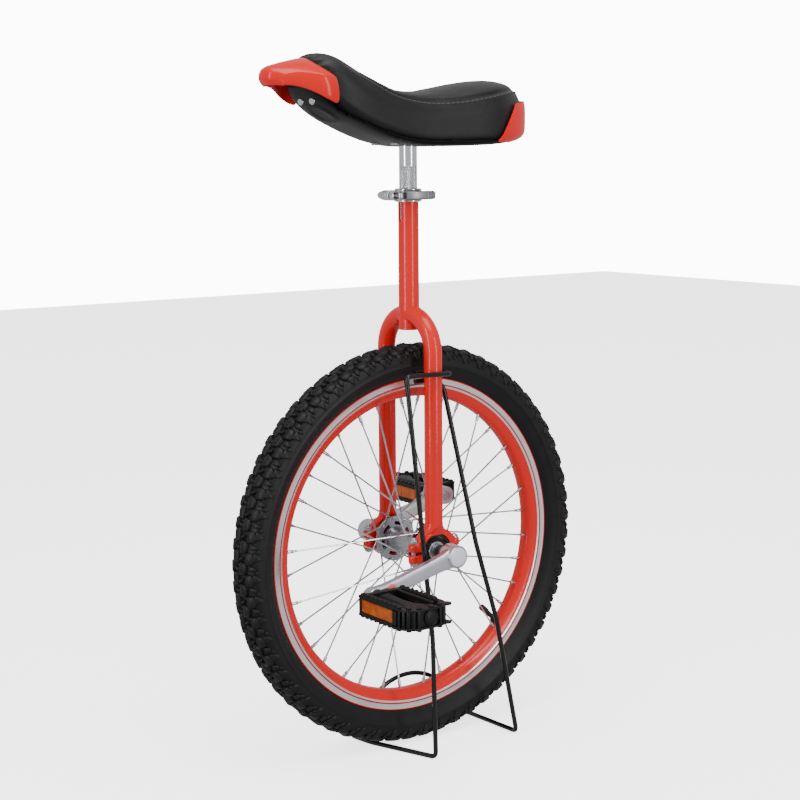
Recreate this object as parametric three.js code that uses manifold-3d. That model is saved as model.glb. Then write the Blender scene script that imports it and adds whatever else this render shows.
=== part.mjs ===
// A 20 inch unicycle with a removable wire display stand.
// Millimetres, +Z up, +X forward, +Y the rider's left. The origin is on the ground under the axle.
import * as THREE from 'three';
import { mergeVertices } from 'three/addons/utils/BufferGeometryUtils.js';
import Module from 'manifold-3d';

const wasm = await Module();
wasm.setup();

// ---- driving sizes ----
const gap = 0.3; // play left between pieces that touch

const wheelRadius = 252; // 20 inch wheel over the tread
const axleHeight = wheelRadius;
const wheelSides = 72;
const tyreHalfWidth = 25;
const rimOuterRadius = 210;
const rimInnerRadius = 186;
const rimHalfWidth = 14;
const rimWall = 2;
const valveTurn = THREE.MathUtils.degToRad(42); // valve below the rear of the axle
const valveRadius = 3;

const spokesPerSide = 18;
const spokeRadius = 1.3;
const flangeRadius = 29;
const flangeThickness = 3.2;
const flangeSpacing = 66;
const spokeFlangeRadius = flangeRadius + spokeRadius + gap;
const hubBarrelRadius = 13;
const hubBore = 8.8;
const axleRadius = 8.5;
const axleEnd = 92; // half length of the axle

const legSpacing = 96; // between the two bearing centres
const legRadius = 11.1;
const legInnerRadius = 9.5;
const crownHeight = 494; // the legs are straight below this
const crownBend = 46;
const legBottom = 284.4;

const tubeRadius = 12.7;
const tubeBore = 11.4;
const tubeTop = 691;
const tubeBottom = 521;
const tubeSlotBottom = 657;
const postRadius = 11.1;
const postBore = 9.1;
const postBottom = 575;

const holderThickness = 15;
const bearingRadius = 21;
const bearingBore = 8.8;
const bearingWidth = 12;
const bearingSplitInner = 16.6;
const bearingSplitOuter = 17.2;
const earReach = 38;
const capBoltReach = 31;
const capBoltRadius = 3;

const crankLength = 125;
const crankDrop = THREE.MathUtils.degToRad(14.4);
const crankInner = 82;
const crankOuter = 95;
const crankBossInner = 76;
const crankBossOuter = 97.5;
const crankBossRadius = 14;
const crankEndRadius = 12;
const crankCapRadius = 12;

const pedalInner = 104.5;
const pedalOuter = 199.5;
const pedalHalfDepth = 32;
const pedalHalfHeight = 12;
const pedalToothHeight = 2.2;
const pedalTeeth = 8;
const spindleRadius = 5;
const spindleBore = 5.6;

const collarBottom = 677;
const collarTop = 693;
const collarRadius = 16.5;
const skewerReach = 23.5; // skewer axis in front of the tube axis
const skewerHeight = 685;
const skewerRadius = 2.6;

const plateTop = 752.6;
const plateThickness = 4;
const saddleBoltX = 34;
const saddleBoltY = 20;

const wireRadius = 3;
const standArchRadius = 80;

// ---- helpers for solids ----
const up = new THREE.Vector3(0, 0, 1);

// Merges the corners of a geometry, drops its folded triangles and turns it outward.
function closed(geometry) {
  const bare = geometry.clone();
  for (const extra of ['normal', 'uv']) {
    if (bare.hasAttribute(extra)) bare.deleteAttribute(extra);
  }
  const merged = mergeVertices(bare, 1e-4);
  const corners = merged.attributes.position;
  const kept = [];
  let volume = 0;
  const a = new THREE.Vector3();
  const b = new THREE.Vector3();
  const c = new THREE.Vector3();
  for (let i = 0; i < merged.index.count; i += 3) {
    const [p, q, r] = [0, 1, 2].map((k) => merged.index.getX(i + k));
    if (p === q || q === r || r === p) continue;
    kept.push(p, q, r);
    a.fromBufferAttribute(corners, p);
    b.fromBufferAttribute(corners, q);
    c.fromBufferAttribute(corners, r);
    volume += a.dot(b.cross(c));
  }
  if (volume < 0) kept.reverse();
  const result = new THREE.BufferGeometry();
  result.setAttribute('position', corners);
  result.setIndex(kept);
  return result;
}

function toManifold(geometry) {
  const shape = closed(geometry);
  return new wasm.Manifold(new wasm.Mesh({
    numProp: 3,
    vertProperties: new Float32Array(shape.attributes.position.array),
    triVerts: new Uint32Array(shape.index.array),
  }));
}

function fromManifold(solid) {
  const mesh = solid.getMesh();
  const geometry = new THREE.BufferGeometry();
  geometry.setAttribute('position', new THREE.BufferAttribute(mesh.vertProperties, 3));
  geometry.setIndex(new THREE.BufferAttribute(mesh.triVerts, 1));
  return geometry;
}

function combine(first, others, operation) {
  let solid = toManifold(first);
  for (const other of others) solid = solid[operation](toManifold(other));
  return fromManifold(solid);
}

const cut = (first, ...others) => combine(first, others, 'subtract');
const join = (first, ...others) => combine(first, others, 'add');
const common = (first, ...others) => combine(first, others, 'intersect');

// ---- helpers for shapes ----
function cylinderY(radius, y0, y1, sides = 20, x = 0, z = 0) {
  return new THREE.CylinderGeometry(radius, radius, y1 - y0, sides).translate(x, (y0 + y1) / 2, z);
}

function cylinderZ(radius, z0, z1, sides = 20, x = 0, y = 0) {
  return new THREE.CylinderGeometry(radius, radius, z1 - z0, sides)
    .rotateX(Math.PI / 2)
    .translate(x, y, (z0 + z1) / 2);
}

function cylinderX(radius, x0, x1, sides, y, z) {
  return new THREE.CylinderGeometry(radius, radius, x1 - x0, sides)
    .rotateZ(Math.PI / 2)
    .translate((x0 + x1) / 2, y, z);
}

function box(x0, x1, y0, y1, z0, z1) {
  return new THREE.BoxGeometry(x1 - x0, y1 - y0, z1 - z0)
    .translate((x0 + x1) / 2, (y0 + y1) / 2, (z0 + z1) / 2);
}

// A closed profile of [radius, y] points turned about the Y axis.
function turned(points, sides) {
  const profile = points.map(([radius, y]) => new THREE.Vector2(radius, y));
  return new THREE.LatheGeometry([...profile, profile[0]], sides, -Math.PI / sides);
}

// A shape drawn in X and Z, pushed from y0 to y1.
function plateXZ(shape, y0, y1, curveSegments = 8, bevel = 0) {
  return new THREE.ExtrudeGeometry(shape, {
    depth: y1 - y0 - 2 * bevel,
    curveSegments,
    bevelEnabled: bevel > 0,
    bevelSize: bevel,
    bevelOffset: -bevel,
    bevelThickness: bevel,
    bevelSegments: 1,
  }).rotateX(Math.PI / 2).translate(0, y1 - bevel, 0);
}

// A shape drawn in X and Y, pushed from z0 to z1.
function plateXY(shape, z0, z1, curveSegments = 8) {
  return new THREE.ExtrudeGeometry(shape, { depth: z1 - z0, curveSegments, bevelEnabled: false })
    .translate(0, 0, z0);
}

// A shape drawn in Y and Z, pushed from x0 to x1.
function plateYZ(shape, x0, x1, curveSegments = 8) {
  const turn = new THREE.Matrix4().makeBasis(
    new THREE.Vector3(0, 1, 0),
    new THREE.Vector3(0, 0, 1),
    new THREE.Vector3(1, 0, 0),
  );
  return new THREE.ExtrudeGeometry(shape, { depth: x1 - x0, curveSegments, bevelEnabled: false })
    .applyMatrix4(turn)
    .translate(x0, 0, 0);
}

function outline(points) {
  return new THREE.Shape(points.map(([a, b]) => new THREE.Vector2(a, b)));
}

function mirrored(geometry) {
  return closed(geometry.clone().scale(1, -1, 1));
}

// A bent wire: straight runs between corners, each corner an arc of the given bend radius.
class BentWire extends THREE.Curve {
  constructor(corners, bendRadius, bendSteps) {
    super();
    const points = corners.map((corner) => new THREE.Vector3(...corner));
    this.stations = [points[0]];
    for (let i = 1; i < points.length - 1; i += 1) {
      const back = points[i - 1].clone().sub(points[i]);
      const ahead = points[i + 1].clone().sub(points[i]);
      const reach = Math.min(bendRadius, back.length() * 0.45, ahead.length() * 0.45);
      const start = points[i].clone().addScaledVector(back.normalize(), reach);
      const end = points[i].clone().addScaledVector(ahead.normalize(), reach);
      const bend = new THREE.QuadraticBezierCurve3(start, points[i], end);
      this.stations.push(...bend.getPoints(bendSteps));
    }
    this.stations.push(points[points.length - 1]);
  }

  getPoint(t, target = new THREE.Vector3()) {
    const place = t * (this.stations.length - 1);
    const index = Math.min(Math.floor(place), this.stations.length - 2);
    return target.lerpVectors(this.stations[index], this.stations[index + 1], place - index);
  }

  getTangent(t, target = new THREE.Vector3()) {
    const last = this.stations.length - 1;
    const index = Math.round(t * last);
    const middle = this.stations[index];
    target.set(0, 0, 0);
    if (index > 0) target.add(middle.clone().sub(this.stations[index - 1]).normalize());
    if (index < last) target.add(this.stations[index + 1].clone().sub(middle).normalize());
    return target.normalize();
  }

  getUtoTmapping(u) {
    return u;
  }
}

function round(radius, sides, innerRadius = 0, innerSides = sides) {
  const circle = (r, n) => Array.from({ length: n }, (_, k) => {
    const angle = (2 * Math.PI * (k + 0.5)) / n;
    return new THREE.Vector2(r * Math.cos(angle), r * Math.sin(angle));
  });
  const shape = new THREE.Shape(circle(radius, sides));
  if (innerRadius > 0) shape.holes.push(new THREE.Path(circle(innerRadius, innerSides)));
  return shape;
}

function swept(shape, wire) {
  return new THREE.ExtrudeGeometry(shape, {
    extrudePath: wire,
    steps: wire.stations.length - 1,
    bevelEnabled: false,
  });
}

// Heights along the saddle are read off a smooth line through a few points.
function heightLine(points) {
  const line = new THREE.SplineCurve(points.map(([x, z]) => new THREE.Vector2(x, z)));
  const samples = line.getPoints(8 * points.length);
  return (x) => {
    const next = samples.findIndex((sample) => sample.x >= x);
    if (next <= 0) return next === 0 ? samples[0].y : samples[samples.length - 1].y;
    const [before, after] = [samples[next - 1], samples[next]];
    return before.y + ((after.y - before.y) * (x - before.x)) / (after.x - before.x);
  };
}

// ---- the model ----
const group = new THREE.Group();
group.name = 'unicycle';

function piece(name, geometry, color, roughness, metalness) {
  const shape = closed(geometry).toNonIndexed();
  shape.computeVertexNormals();
  const material = new THREE.MeshStandardMaterial({ color, roughness, metalness });
  material.name = `${name}_finish`;
  const mesh = new THREE.Mesh(shape, material);
  mesh.name = name;
  group.add(mesh);
}

const redPaint = ['#d8231c', 0.25, 0.1];
const blackPaint = ['#101012', 0.35, 0.2];
const steel = ['#b9bcc0', 0.35, 0.9];
const chrome = ['#e2e4e8', 0.12, 1];
const alloy = ['#c9cacf', 0.3, 0.9];
const rubber = ['#1b1b1d', 0.85, 0];
const plastic = ['#222225', 0.55, 0];

const sides = [['left', 1], ['right', -1]];

function bothSides(name, leftGeometry, finish) {
  for (const [side, sign] of sides) {
    piece(`${name}_${side}`, sign > 0 ? leftGeometry : mirrored(leftGeometry), ...finish);
  }
}

// Seat tube: open at both ends, with the clamping slot in its front wall.
function seatTube() {
  const slotHalfWidth = 1.6;
  return cut(
    cylinderZ(tubeRadius, tubeBottom, tubeTop, 28),
    cylinderZ(tubeBore, tubeBottom - 1, tubeTop + 1, 28),
    box(0, 2 * tubeRadius, -slotHalfWidth, slotHalfWidth, tubeSlotBottom, tubeTop + 1),
    cylinderX(2.6, 0, 2 * tubeRadius, 12, 0, tubeSlotBottom),
  );
}
piece('seat_tube', seatTube(), ...redPaint);

// Fork leg: a straight tube whose top bends over in a quarter turn and meets the seat tube.
function forkLeg() {
  const centre = legSpacing / 2 - crownBend;
  const bendSteps = 7;
  const wire = new BentWire([[0, legSpacing / 2, legBottom], [0, legSpacing / 2, crownHeight]], 1, 1);
  for (let i = 1; i <= bendSteps; i += 1) {
    const angle = (i / bendSteps) * (Math.PI / 2);
    const y = centre + crownBend * Math.cos(angle);
    const z = crownHeight + crownBend * Math.sin(angle);
    wire.stations.push(new THREE.Vector3(0, y, z));
  }
  const leg = swept(round(legRadius, 18, legInnerRadius, 12), wire);
  return cut(leg, cylinderZ(tubeRadius + gap, tubeBottom, 2 * tubeTop, 28));
}
bothSides('fork_leg', forkLeg(), redPaint);

// Bearing holder: a saddle over the upper half of the bearing with an ear front and rear.
const holderY = [legSpacing / 2 - holderThickness / 2, legSpacing / 2 + holderThickness / 2];
const holderBore = bearingRadius + gap;

function holder() {
  const neckTop = legBottom - gap;
  const earTop = axleHeight + 13;
  const earBottom = axleHeight + 1.6;
  const shape = new THREE.Shape();
  shape.moveTo(-legRadius, neckTop);
  shape.quadraticCurveTo(-12, earTop + 3, -earReach + 14, earTop);
  shape.lineTo(-earReach + 2, earTop);
  shape.lineTo(-earReach, earTop - 2);
  shape.lineTo(-earReach, earBottom);
  shape.lineTo(-holderBore, earBottom);
  const tilt = Math.asin((earBottom - axleHeight) / holderBore);
  shape.absarc(0, axleHeight, holderBore, Math.PI - tilt, tilt, true);
  shape.lineTo(earReach, earBottom);
  shape.lineTo(earReach, earTop - 2);
  shape.lineTo(earReach - 2, earTop);
  shape.lineTo(earReach - 14, earTop);
  shape.quadraticCurveTo(12, earTop + 3, legRadius, neckTop);
  const holes = [-1, 1].map((end) => cylinderZ(
    capBoltRadius + gap, earBottom - 1, earTop + 1, 12, end * capBoltReach, legSpacing / 2,
  ));
  return cut(plateXZ(shape, ...holderY, 10), ...holes);
}
bothSides('bearing_holder', holder(), redPaint);

// Bearing cap: the lower half ring, clamped up by two bolts.
function bearingCap() {
  const earTop = axleHeight - 1.6;
  const earBottom = axleHeight - 13;
  const outer = holderBore + 4;
  const shape = new THREE.Shape();
  const tilt = Math.asin((axleHeight - earTop) / holderBore);
  const outerTilt = Math.asin((axleHeight - earBottom) / outer);
  shape.moveTo(-earReach, earTop);
  shape.lineTo(-earReach, earBottom + 3);
  shape.lineTo(-earReach + 3, earBottom);
  shape.lineTo(-outer * Math.cos(outerTilt), earBottom);
  shape.absarc(0, axleHeight, outer, Math.PI + outerTilt, 2 * Math.PI - outerTilt, false);
  shape.lineTo(earReach - 3, earBottom);
  shape.lineTo(earReach, earBottom + 3);
  shape.lineTo(earReach, earTop);
  shape.absarc(0, axleHeight, holderBore, -tilt, -Math.PI + tilt, true);
  const holes = [-1, 1].map((end) => cylinderZ(
    capBoltRadius + gap, earBottom - 1, earTop + 1, 12, end * capBoltReach, legSpacing / 2,
  ));
  return cut(plateXZ(shape, ...holderY, 10), ...holes);
}
bothSides('bearing_cap', bearingCap(), redPaint);

// Cap bolts: the rear one has its dome head on top, the front one has its nut on top.
function capBolt(headUp) {
  const [low, high] = [axleHeight - 13, axleHeight + 13];
  const headSeat = headUp ? high + gap : low - gap;
  const away = headUp ? 1 : -1;
  const head = new THREE.LatheGeometry([
    new THREE.Vector2(0, 5), new THREE.Vector2(3.4, 4.2), new THREE.Vector2(5.6, 1.6),
    new THREE.Vector2(5.6, 0), new THREE.Vector2(0, 0),
  ], 12).rotateX(away * Math.PI / 2).translate(0, 0, headSeat);
  const shankEnd = headUp ? low - 8 : high + 8;
  const [from, to] = [Math.min(headSeat + away, shankEnd), Math.max(headSeat + away, shankEnd)];
  return join(head, cylinderZ(capBoltRadius, from, to, 10));
}

function capNut(onTop) {
  const seat = onTop ? axleHeight + 13 + gap : axleHeight - 13 - gap - 5;
  return cut(
    cylinderZ(5.8, seat, seat + 5, 6),
    cylinderZ(capBoltRadius + gap, seat - 1, seat + 6, 10),
  );
}
for (const [end, sign] of [['front', 1], ['rear', -1]]) {
  const place = (geometry) => geometry.translate(sign * capBoltReach, legSpacing / 2, 0);
  bothSides(`cap_bolt_${end}`, place(capBolt(end === 'rear')), steel);
  bothSides(`cap_nut_${end}`, place(capNut(end === 'front')), steel);
}

// Ball bearing: the outer race stays in the holder, the inner race and seal turn with the axle.
function ring(outer, inner, width, count) {
  const [y0, y1] = [(legSpacing - width) / 2, (legSpacing + width) / 2];
  return turned([[inner, y0], [outer, y0], [outer, y1], [inner, y1]], count)
    .translate(0, 0, axleHeight);
}
bothSides('bearing_outer', ring(bearingRadius, bearingSplitOuter, bearingWidth, 24), blackPaint);
bothSides('bearing_inner', ring(bearingSplitInner, bearingBore, bearingWidth, 24), blackPaint);

// Axle: a bar with reduced ends for the cranks, drilled for the crank bolts.
function axle() {
  const endRadius = 7.2;
  const shoulder = legSpacing / 2 + 20;
  const bar = turned([
    [0, -axleEnd], [endRadius, -axleEnd], [endRadius, -shoulder], [axleRadius, -shoulder],
    [axleRadius, shoulder], [endRadius, shoulder], [endRadius, axleEnd], [0, axleEnd],
  ], 20);
  const drill = cylinderY(3.6, axleEnd - 18, axleEnd + 1, 10);
  return cut(bar, drill, mirrored(drill)).translate(0, 0, axleHeight);
}
piece('axle', axle(), ...steel);

// Hub shell: a barrel with two wide flanges, each lightened by curved slots.
function hubShell() {
  const outer = flangeSpacing / 2 + flangeThickness / 2;
  const inner = outer - flangeThickness;
  const end = outer + 5;
  const lip = hubBarrelRadius + 1;
  const body = turned([
    [hubBore, -end], [lip, -end], [lip, -outer], [flangeRadius, -outer], [flangeRadius, -inner],
    [hubBarrelRadius, -inner + 3], [hubBarrelRadius, inner - 3], [flangeRadius, inner],
    [flangeRadius, outer], [lip, outer], [lip, end], [hubBore, end],
  ], 32);
  const slots = [];
  const slotCount = 6;
  for (let i = 0; i < slotCount; i += 1) {
    const start = (i * 2 * Math.PI) / slotCount;
    const shape = new THREE.Shape();
    shape.absarc(0, 0, 22, start, start + 0.62, false);
    shape.absarc(0, 0, 17.2, start + 0.62, start, true);
    slots.push(plateXZ(shape, -outer - 1, outer + 1, 2));
  }
  return cut(body, ...slots).translate(0, 0, axleHeight);
}
piece('hub_shell', hubShell(), ...steel);

// Spokes of one side: nine lead and nine trail, laced across each other and laid in one cone.
function spokeLattice() {
  const flangeY = flangeSpacing / 2;
  const rimY = 2;
  const nippleEnd = rimInnerRadius - 1;
  const nippleLength = 12;
  const nippleRadius = 2.6;
  const lead = THREE.MathUtils.degToRad(48); // turn between a spoke's hub end and its rim end
  const bars = [];
  const bar = (from, to, radius) => {
    const direction = to.clone().sub(from);
    const length = direction.length();
    const turn = new THREE.Quaternion().setFromUnitVectors(up, direction.normalize());
    return new THREE.CylinderGeometry(radius, radius, length, 3)
      .rotateX(Math.PI / 2)
      .applyQuaternion(turn)
      .translate(...from.clone().add(to).multiplyScalar(0.5).toArray());
  };
  for (let i = 0; i < spokesPerSide; i += 1) {
    const rimAngle = ((i + 0.25) * 2 * Math.PI) / spokesPerSide;
    const hubAngle = rimAngle + (i % 2 === 0 ? lead : -lead);
    const hubEnd = new THREE.Vector3(
      spokeFlangeRadius * Math.cos(hubAngle), flangeY, spokeFlangeRadius * Math.sin(hubAngle),
    );
    const rimEnd = new THREE.Vector3(
      nippleEnd * Math.cos(rimAngle), rimY, nippleEnd * Math.sin(rimAngle),
    );
    const nippleStart = rimEnd.clone().lerp(hubEnd, nippleLength / rimEnd.distanceTo(hubEnd));
    bars.push(bar(hubEnd, rimEnd, spokeRadius), bar(nippleStart, rimEnd, nippleRadius));
  }
  return join(...bars).translate(0, 0, axleHeight);
}
piece('spokes_left', spokeLattice(), ...steel);
piece('spokes_right', mirrored(spokeLattice().translate(0, 0, -axleHeight)
  .rotateY(Math.PI / spokesPerSide).translate(0, 0, axleHeight)), ...steel);

// Rim: a single wall channel with upright brake tracks and a vee shaped well.
function rim() {
  const half = [
    [rimInnerRadius, 0], [rimInnerRadius + 1.5, 7], [rimInnerRadius + 12.5, 12.6],
    [rimInnerRadius + 14, rimHalfWidth], [rimOuterRadius, rimHalfWidth],
    [rimOuterRadius, rimHalfWidth - rimWall], [rimInnerRadius + 13, rimHalfWidth - rimWall],
    [rimInnerRadius + rimWall, 0],
  ];
  const lower = half.slice(1, -1).map(([radius, y]) => [radius, -y]).reverse();
  const valveHole = cylinderX(valveRadius + 0.6, rimInnerRadius - 10, rimInnerRadius + 10, 10, 0, 0)
    .rotateY(Math.PI - valveTurn);
  return cut(turned([...half, ...lower], wheelSides), valveHole).translate(0, 0, axleHeight);
}
piece('rim', rim(), ...redPaint);

// Rim tape: a band over the spoke heads in the well.
function rimTape() {
  const radius = rimInnerRadius + 8;
  const band = turned([[radius, -4], [radius + 1, -5], [radius + 1, 5], [radius, 4]], 40);
  const valveHole = cylinderX(valveRadius + 0.6, radius - 10, radius + 10, 10, 0, 0)
    .rotateY(Math.PI - valveTurn);
  return cut(band, valveHole).translate(0, 0, axleHeight);
}
piece('rim_tape', rimTape(), '#c0392b', 0.7, 0);

// Inner tube: a hollow ring open where its valve stands.
function innerTube() {
  const centre = 226;
  const tube = new THREE.TorusGeometry(centre, 12.4, 7, 34).rotateX(Math.PI / 2);
  const air = new THREE.TorusGeometry(centre, 11, 7, 34).rotateX(Math.PI / 2);
  const valveHole = cylinderX(valveRadius + gap, centre - 20, centre, 8, 0, 0)
    .rotateY(Math.PI - valveTurn);
  return cut(tube, air, valveHole).translate(0, 0, axleHeight);
}
piece('inner_tube', innerTube(), ...rubber);

// Valve: a stem from the tube through the rim, with a cap on its inner end.
function valve() {
  const [capEnd, capStart, foot] = [152, 166, 214];
  return join(
    cylinderX(valveRadius, capStart - 1, foot, 10, 0, 0),
    cylinderX(valveRadius + 1, capEnd, capStart, 10, 0, 0),
  ).rotateY(Math.PI - valveTurn).translate(0, 0, axleHeight);
}
piece('valve_stem', valve(), ...rubber);

// Tyre: an open carcass whose beads sit inside the rim walls.
function tyre() {
  const facet = Math.cos(Math.PI / wheelSides); // puts the middle of each flat at the true radius
  const bead = rimHalfWidth - rimWall - 0.7;
  const beadRadius = rimOuterRadius - 7.5;
  const half = [
    [wheelRadius, 9], [wheelRadius - 3.5, 17], [wheelRadius - 11, 23],
    [wheelRadius - 22, tyreHalfWidth], [wheelRadius - 32, 21],
    [rimOuterRadius + 2.5, bead + 3.5], [rimOuterRadius + 1, bead],
    [beadRadius, bead], [beadRadius, bead - 3], [rimOuterRadius + 4, bead], [wheelRadius - 12, 17],
  ];
  const points = [...half, ...half.map(([radius, y]) => [radius, -y]).reverse()];
  return turned(points.map(([radius, y]) => [radius / facet, y]), wheelSides)
    .translate(0, 0, axleHeight);
}
piece('tyre', tyre(), ...rubber);

// Crank: boss, tapering arm and pedal end, drawn along +X from the axle.
function crank() {
  const armHalf = 9.2;
  const shape = new THREE.Shape();
  shape.absarc(0, 0, crankBossRadius - 0.2, 1.05, 2 * Math.PI - 1.05, false);
  shape.quadraticCurveTo(16, -armHalf - 0.4, 32, -armHalf);
  shape.lineTo(crankLength - 22, -armHalf + 0.8);
  shape.quadraticCurveTo(crankLength - 12, -armHalf + 0.4, crankLength - 6, -crankEndRadius + 1.6);
  shape.absarc(crankLength, 0, crankEndRadius, -Math.PI / 2 - 0.4, Math.PI / 2 + 0.4, false);
  shape.quadraticCurveTo(crankLength - 12, armHalf - 0.4, crankLength - 22, armHalf - 0.8);
  shape.lineTo(32, armHalf);
  shape.quadraticCurveTo(16, armHalf + 0.4, 7, 12);
  const body = join(
    plateXZ(shape, crankInner, crankOuter, 5, 2),
    cylinderY(crankBossRadius, crankBossInner, crankBossOuter, 24),
  );
  return cut(
    body,
    cylinderY(7.5, crankBossInner - 1, crankBossOuter - 5, 16),
    cylinderY(crankCapRadius + gap, crankBossOuter - 8, crankBossOuter + 1, 24),
    cylinderY(7, crankInner - 1, crankOuter + 1, 16, crankLength),
  );
}

// Places a piece drawn for the left crank on the left or, turned half round, on the right.
function onCrank(geometry, sign) {
  const turn = sign > 0 ? crankDrop : crankDrop + Math.PI;
  const sided = sign > 0 ? geometry.clone() : mirrored(geometry);
  return sided.rotateY(turn).translate(0, 0, axleHeight);
}

// Crank bolt: a head in the boss recess and a shank in the axle.
function crankBolt() {
  const seat = axleEnd + 0.3;
  return join(
    cylinderY(3.3, axleEnd - 16, seat + 1, 10),
    cylinderY(6.5, seat, crankBossOuter - 3.2, 6),
  );
}

// Crank cap: the plastic disc that closes the boss.
function crankCap() {
  return new THREE.LatheGeometry([
    new THREE.Vector2(0, crankBossOuter - 2.8),
    new THREE.Vector2(crankCapRadius, crankBossOuter - 2.8),
    new THREE.Vector2(crankCapRadius, crankBossOuter + 0.4),
    new THREE.Vector2(crankCapRadius - 1.2, crankBossOuter + 1.2),
    new THREE.Vector2(0, crankBossOuter + 1.6),
  ], 24);
}

// Pedal spindle: thread through the crank, hexagon flange and the pin the pedal turns on.
function pedalSpindle() {
  return join(
    cylinderY(6.7, crankInner - 1, crankOuter + 1, 14),
    cylinderY(8.4, crankOuter + gap, crankOuter + 5, 6),
    cylinderY(spindleRadius, crankOuter + 4, pedalOuter - 12, 12),
  ).translate(crankLength, 0, 0);
}

// Pedal cage: serrated front and rear rails, end blocks and a middle barrel, drawn about the spindle.
const reflectorLength = 60;
const reflectorHeight = 14.5;
const reflectorDepth = 3.5;
const railLength = 70;

function pedalRail() {
  const pitch = railLength / pedalTeeth;
  const edge = (level, tip) => Array.from({ length: pedalTeeth }, (_, k) => [
    [pedalInner + k * pitch, level],
    [pedalInner + (k + 0.5) * pitch, tip],
  ]).flat();
  const high = edge(pedalHalfHeight, pedalHalfHeight + pedalToothHeight);
  const low = edge(-pedalHalfHeight, -pedalHalfHeight - pedalToothHeight).reverse();
  const end = pedalInner + railLength;
  return plateYZ(
    outline([...high, [end, pedalHalfHeight], [end, -pedalHalfHeight], ...low]),
    pedalHalfDepth - 8,
    pedalHalfDepth,
  );
}

function reflectorBox(grow) {
  const middle = pedalInner + railLength / 2;
  const half = reflectorLength / 2 + grow;
  return box(
    pedalHalfDepth - reflectorDepth - grow, pedalHalfDepth - (grow > 0 ? -1 : 0.6),
    middle - half, middle + half, -reflectorHeight / 2 - grow, reflectorHeight / 2 + grow,
  );
}

function pedalCage() {
  const corner = 20;
  const frame = new THREE.Shape();
  frame.moveTo(-pedalHalfDepth, pedalInner);
  frame.lineTo(pedalHalfDepth, pedalInner);
  frame.lineTo(pedalHalfDepth, pedalOuter - corner);
  frame.absarc(pedalHalfDepth - corner, pedalOuter - corner, corner, 0, Math.PI / 2, false);
  frame.lineTo(corner - pedalHalfDepth, pedalOuter);
  frame.absarc(corner - pedalHalfDepth, pedalOuter - corner, corner, Math.PI / 2, Math.PI, false);
  const windows = [-1, 1].map((end) => {
    const corners = [[8, 9], [24, 9], [24, 68], [8, 76]];
    const window = outline(corners.map(([x, y]) => [end * x, pedalInner + y]));
    return plateXY(window, -pedalHalfHeight - 1, pedalHalfHeight + 1);
  });
  const pocket = reflectorBox(gap);
  const rail = pedalRail();
  return cut(
    join(plateXY(frame, -pedalHalfHeight, pedalHalfHeight, 4), rail, rail.clone().scale(-1, 1, 1)),
    cylinderY(spindleBore, pedalInner - 1, pedalOuter - 8, 14),
    ...windows,
    pocket,
    pocket.clone().scale(-1, 1, 1),
  );
}

for (const [side, sign] of sides) {
  piece(`crank_${side}`, onCrank(crank(), sign), ...alloy);
  piece(`crank_bolt_${side}`, onCrank(crankBolt(), sign), ...steel);
  piece(`crank_cap_${side}`, onCrank(crankCap(), sign), '#c4c4ca', 0.45, 0);
  piece(`pedal_spindle_${side}`, onCrank(pedalSpindle(), sign), ...steel);
  const pedalCentre = [
    sign * crankLength * Math.cos(crankDrop), 0, axleHeight - sign * crankLength * Math.sin(crankDrop),
  ];
  const onPedal = (geometry) => {
    const sided = sign > 0 ? geometry.clone() : mirrored(geometry);
    return sided.translate(...pedalCentre);
  };
  piece(`pedal_cage_${side}`, onPedal(pedalCage()), ...plastic);
  piece(`reflector_front_${side}`, onPedal(reflectorBox(0)), '#c8660a', 0.3, 0);
  const rearReflector = closed(reflectorBox(0).scale(-1, 1, 1));
  piece(`reflector_rear_${side}`, onPedal(rearReflector), '#c8660a', 0.3, 0);
}

// Seat clamp collar: a split band with two ears in front, drilled for the skewer.
const earGap = 1.6;
const earWidth = 7;

function clampCollar() {
  const ears = box(
    tubeRadius, skewerReach + 6, -earGap - earWidth, earGap + earWidth,
    collarBottom + 1.5, collarTop - 1.5,
  );
  return cut(
    join(cylinderZ(collarRadius, collarBottom, collarTop, 28), ears),
    cylinderZ(tubeRadius + gap, collarBottom - 1, collarTop + 1, 28),
    box(0, 2 * skewerReach, -earGap, earGap, collarBottom - 1, collarTop + 1),
    cylinderY(skewerRadius + gap, -30, 30, 12, skewerReach, skewerHeight),
  );
}
piece('clamp_collar', clampCollar(), ...alloy);

// Skewer with the barrel its lever turns on.
const earFace = earGap + earWidth;
const pivotY = earFace + 8;

function clampSkewer() {
  return join(
    cylinderY(skewerRadius, -earFace - 12, pivotY, 12, skewerReach, skewerHeight),
    cylinderZ(3.4, skewerHeight - 3.2, skewerHeight + 3.2, 12, skewerReach, pivotY),
  );
}
piece('clamp_skewer', clampSkewer(), ...steel);

// Acorn nut on the far end of the skewer.
function clampNut() {
  const seat = -earFace - gap;
  const body = new THREE.LatheGeometry([
    new THREE.Vector2(skewerRadius + gap, 0), new THREE.Vector2(6.2, 0), new THREE.Vector2(6.2, -9),
    new THREE.Vector2(5, -10), new THREE.Vector2(4.6, -16), new THREE.Vector2(2.4, -20),
    new THREE.Vector2(0, -20.6), new THREE.Vector2(0, -13), new THREE.Vector2(skewerRadius + gap, -13),
    new THREE.Vector2(skewerRadius + gap, 0),
  ], 16);
  return body.translate(skewerReach, seat, skewerHeight);
}
piece('clamp_nut', clampNut(), ...chrome);

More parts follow.
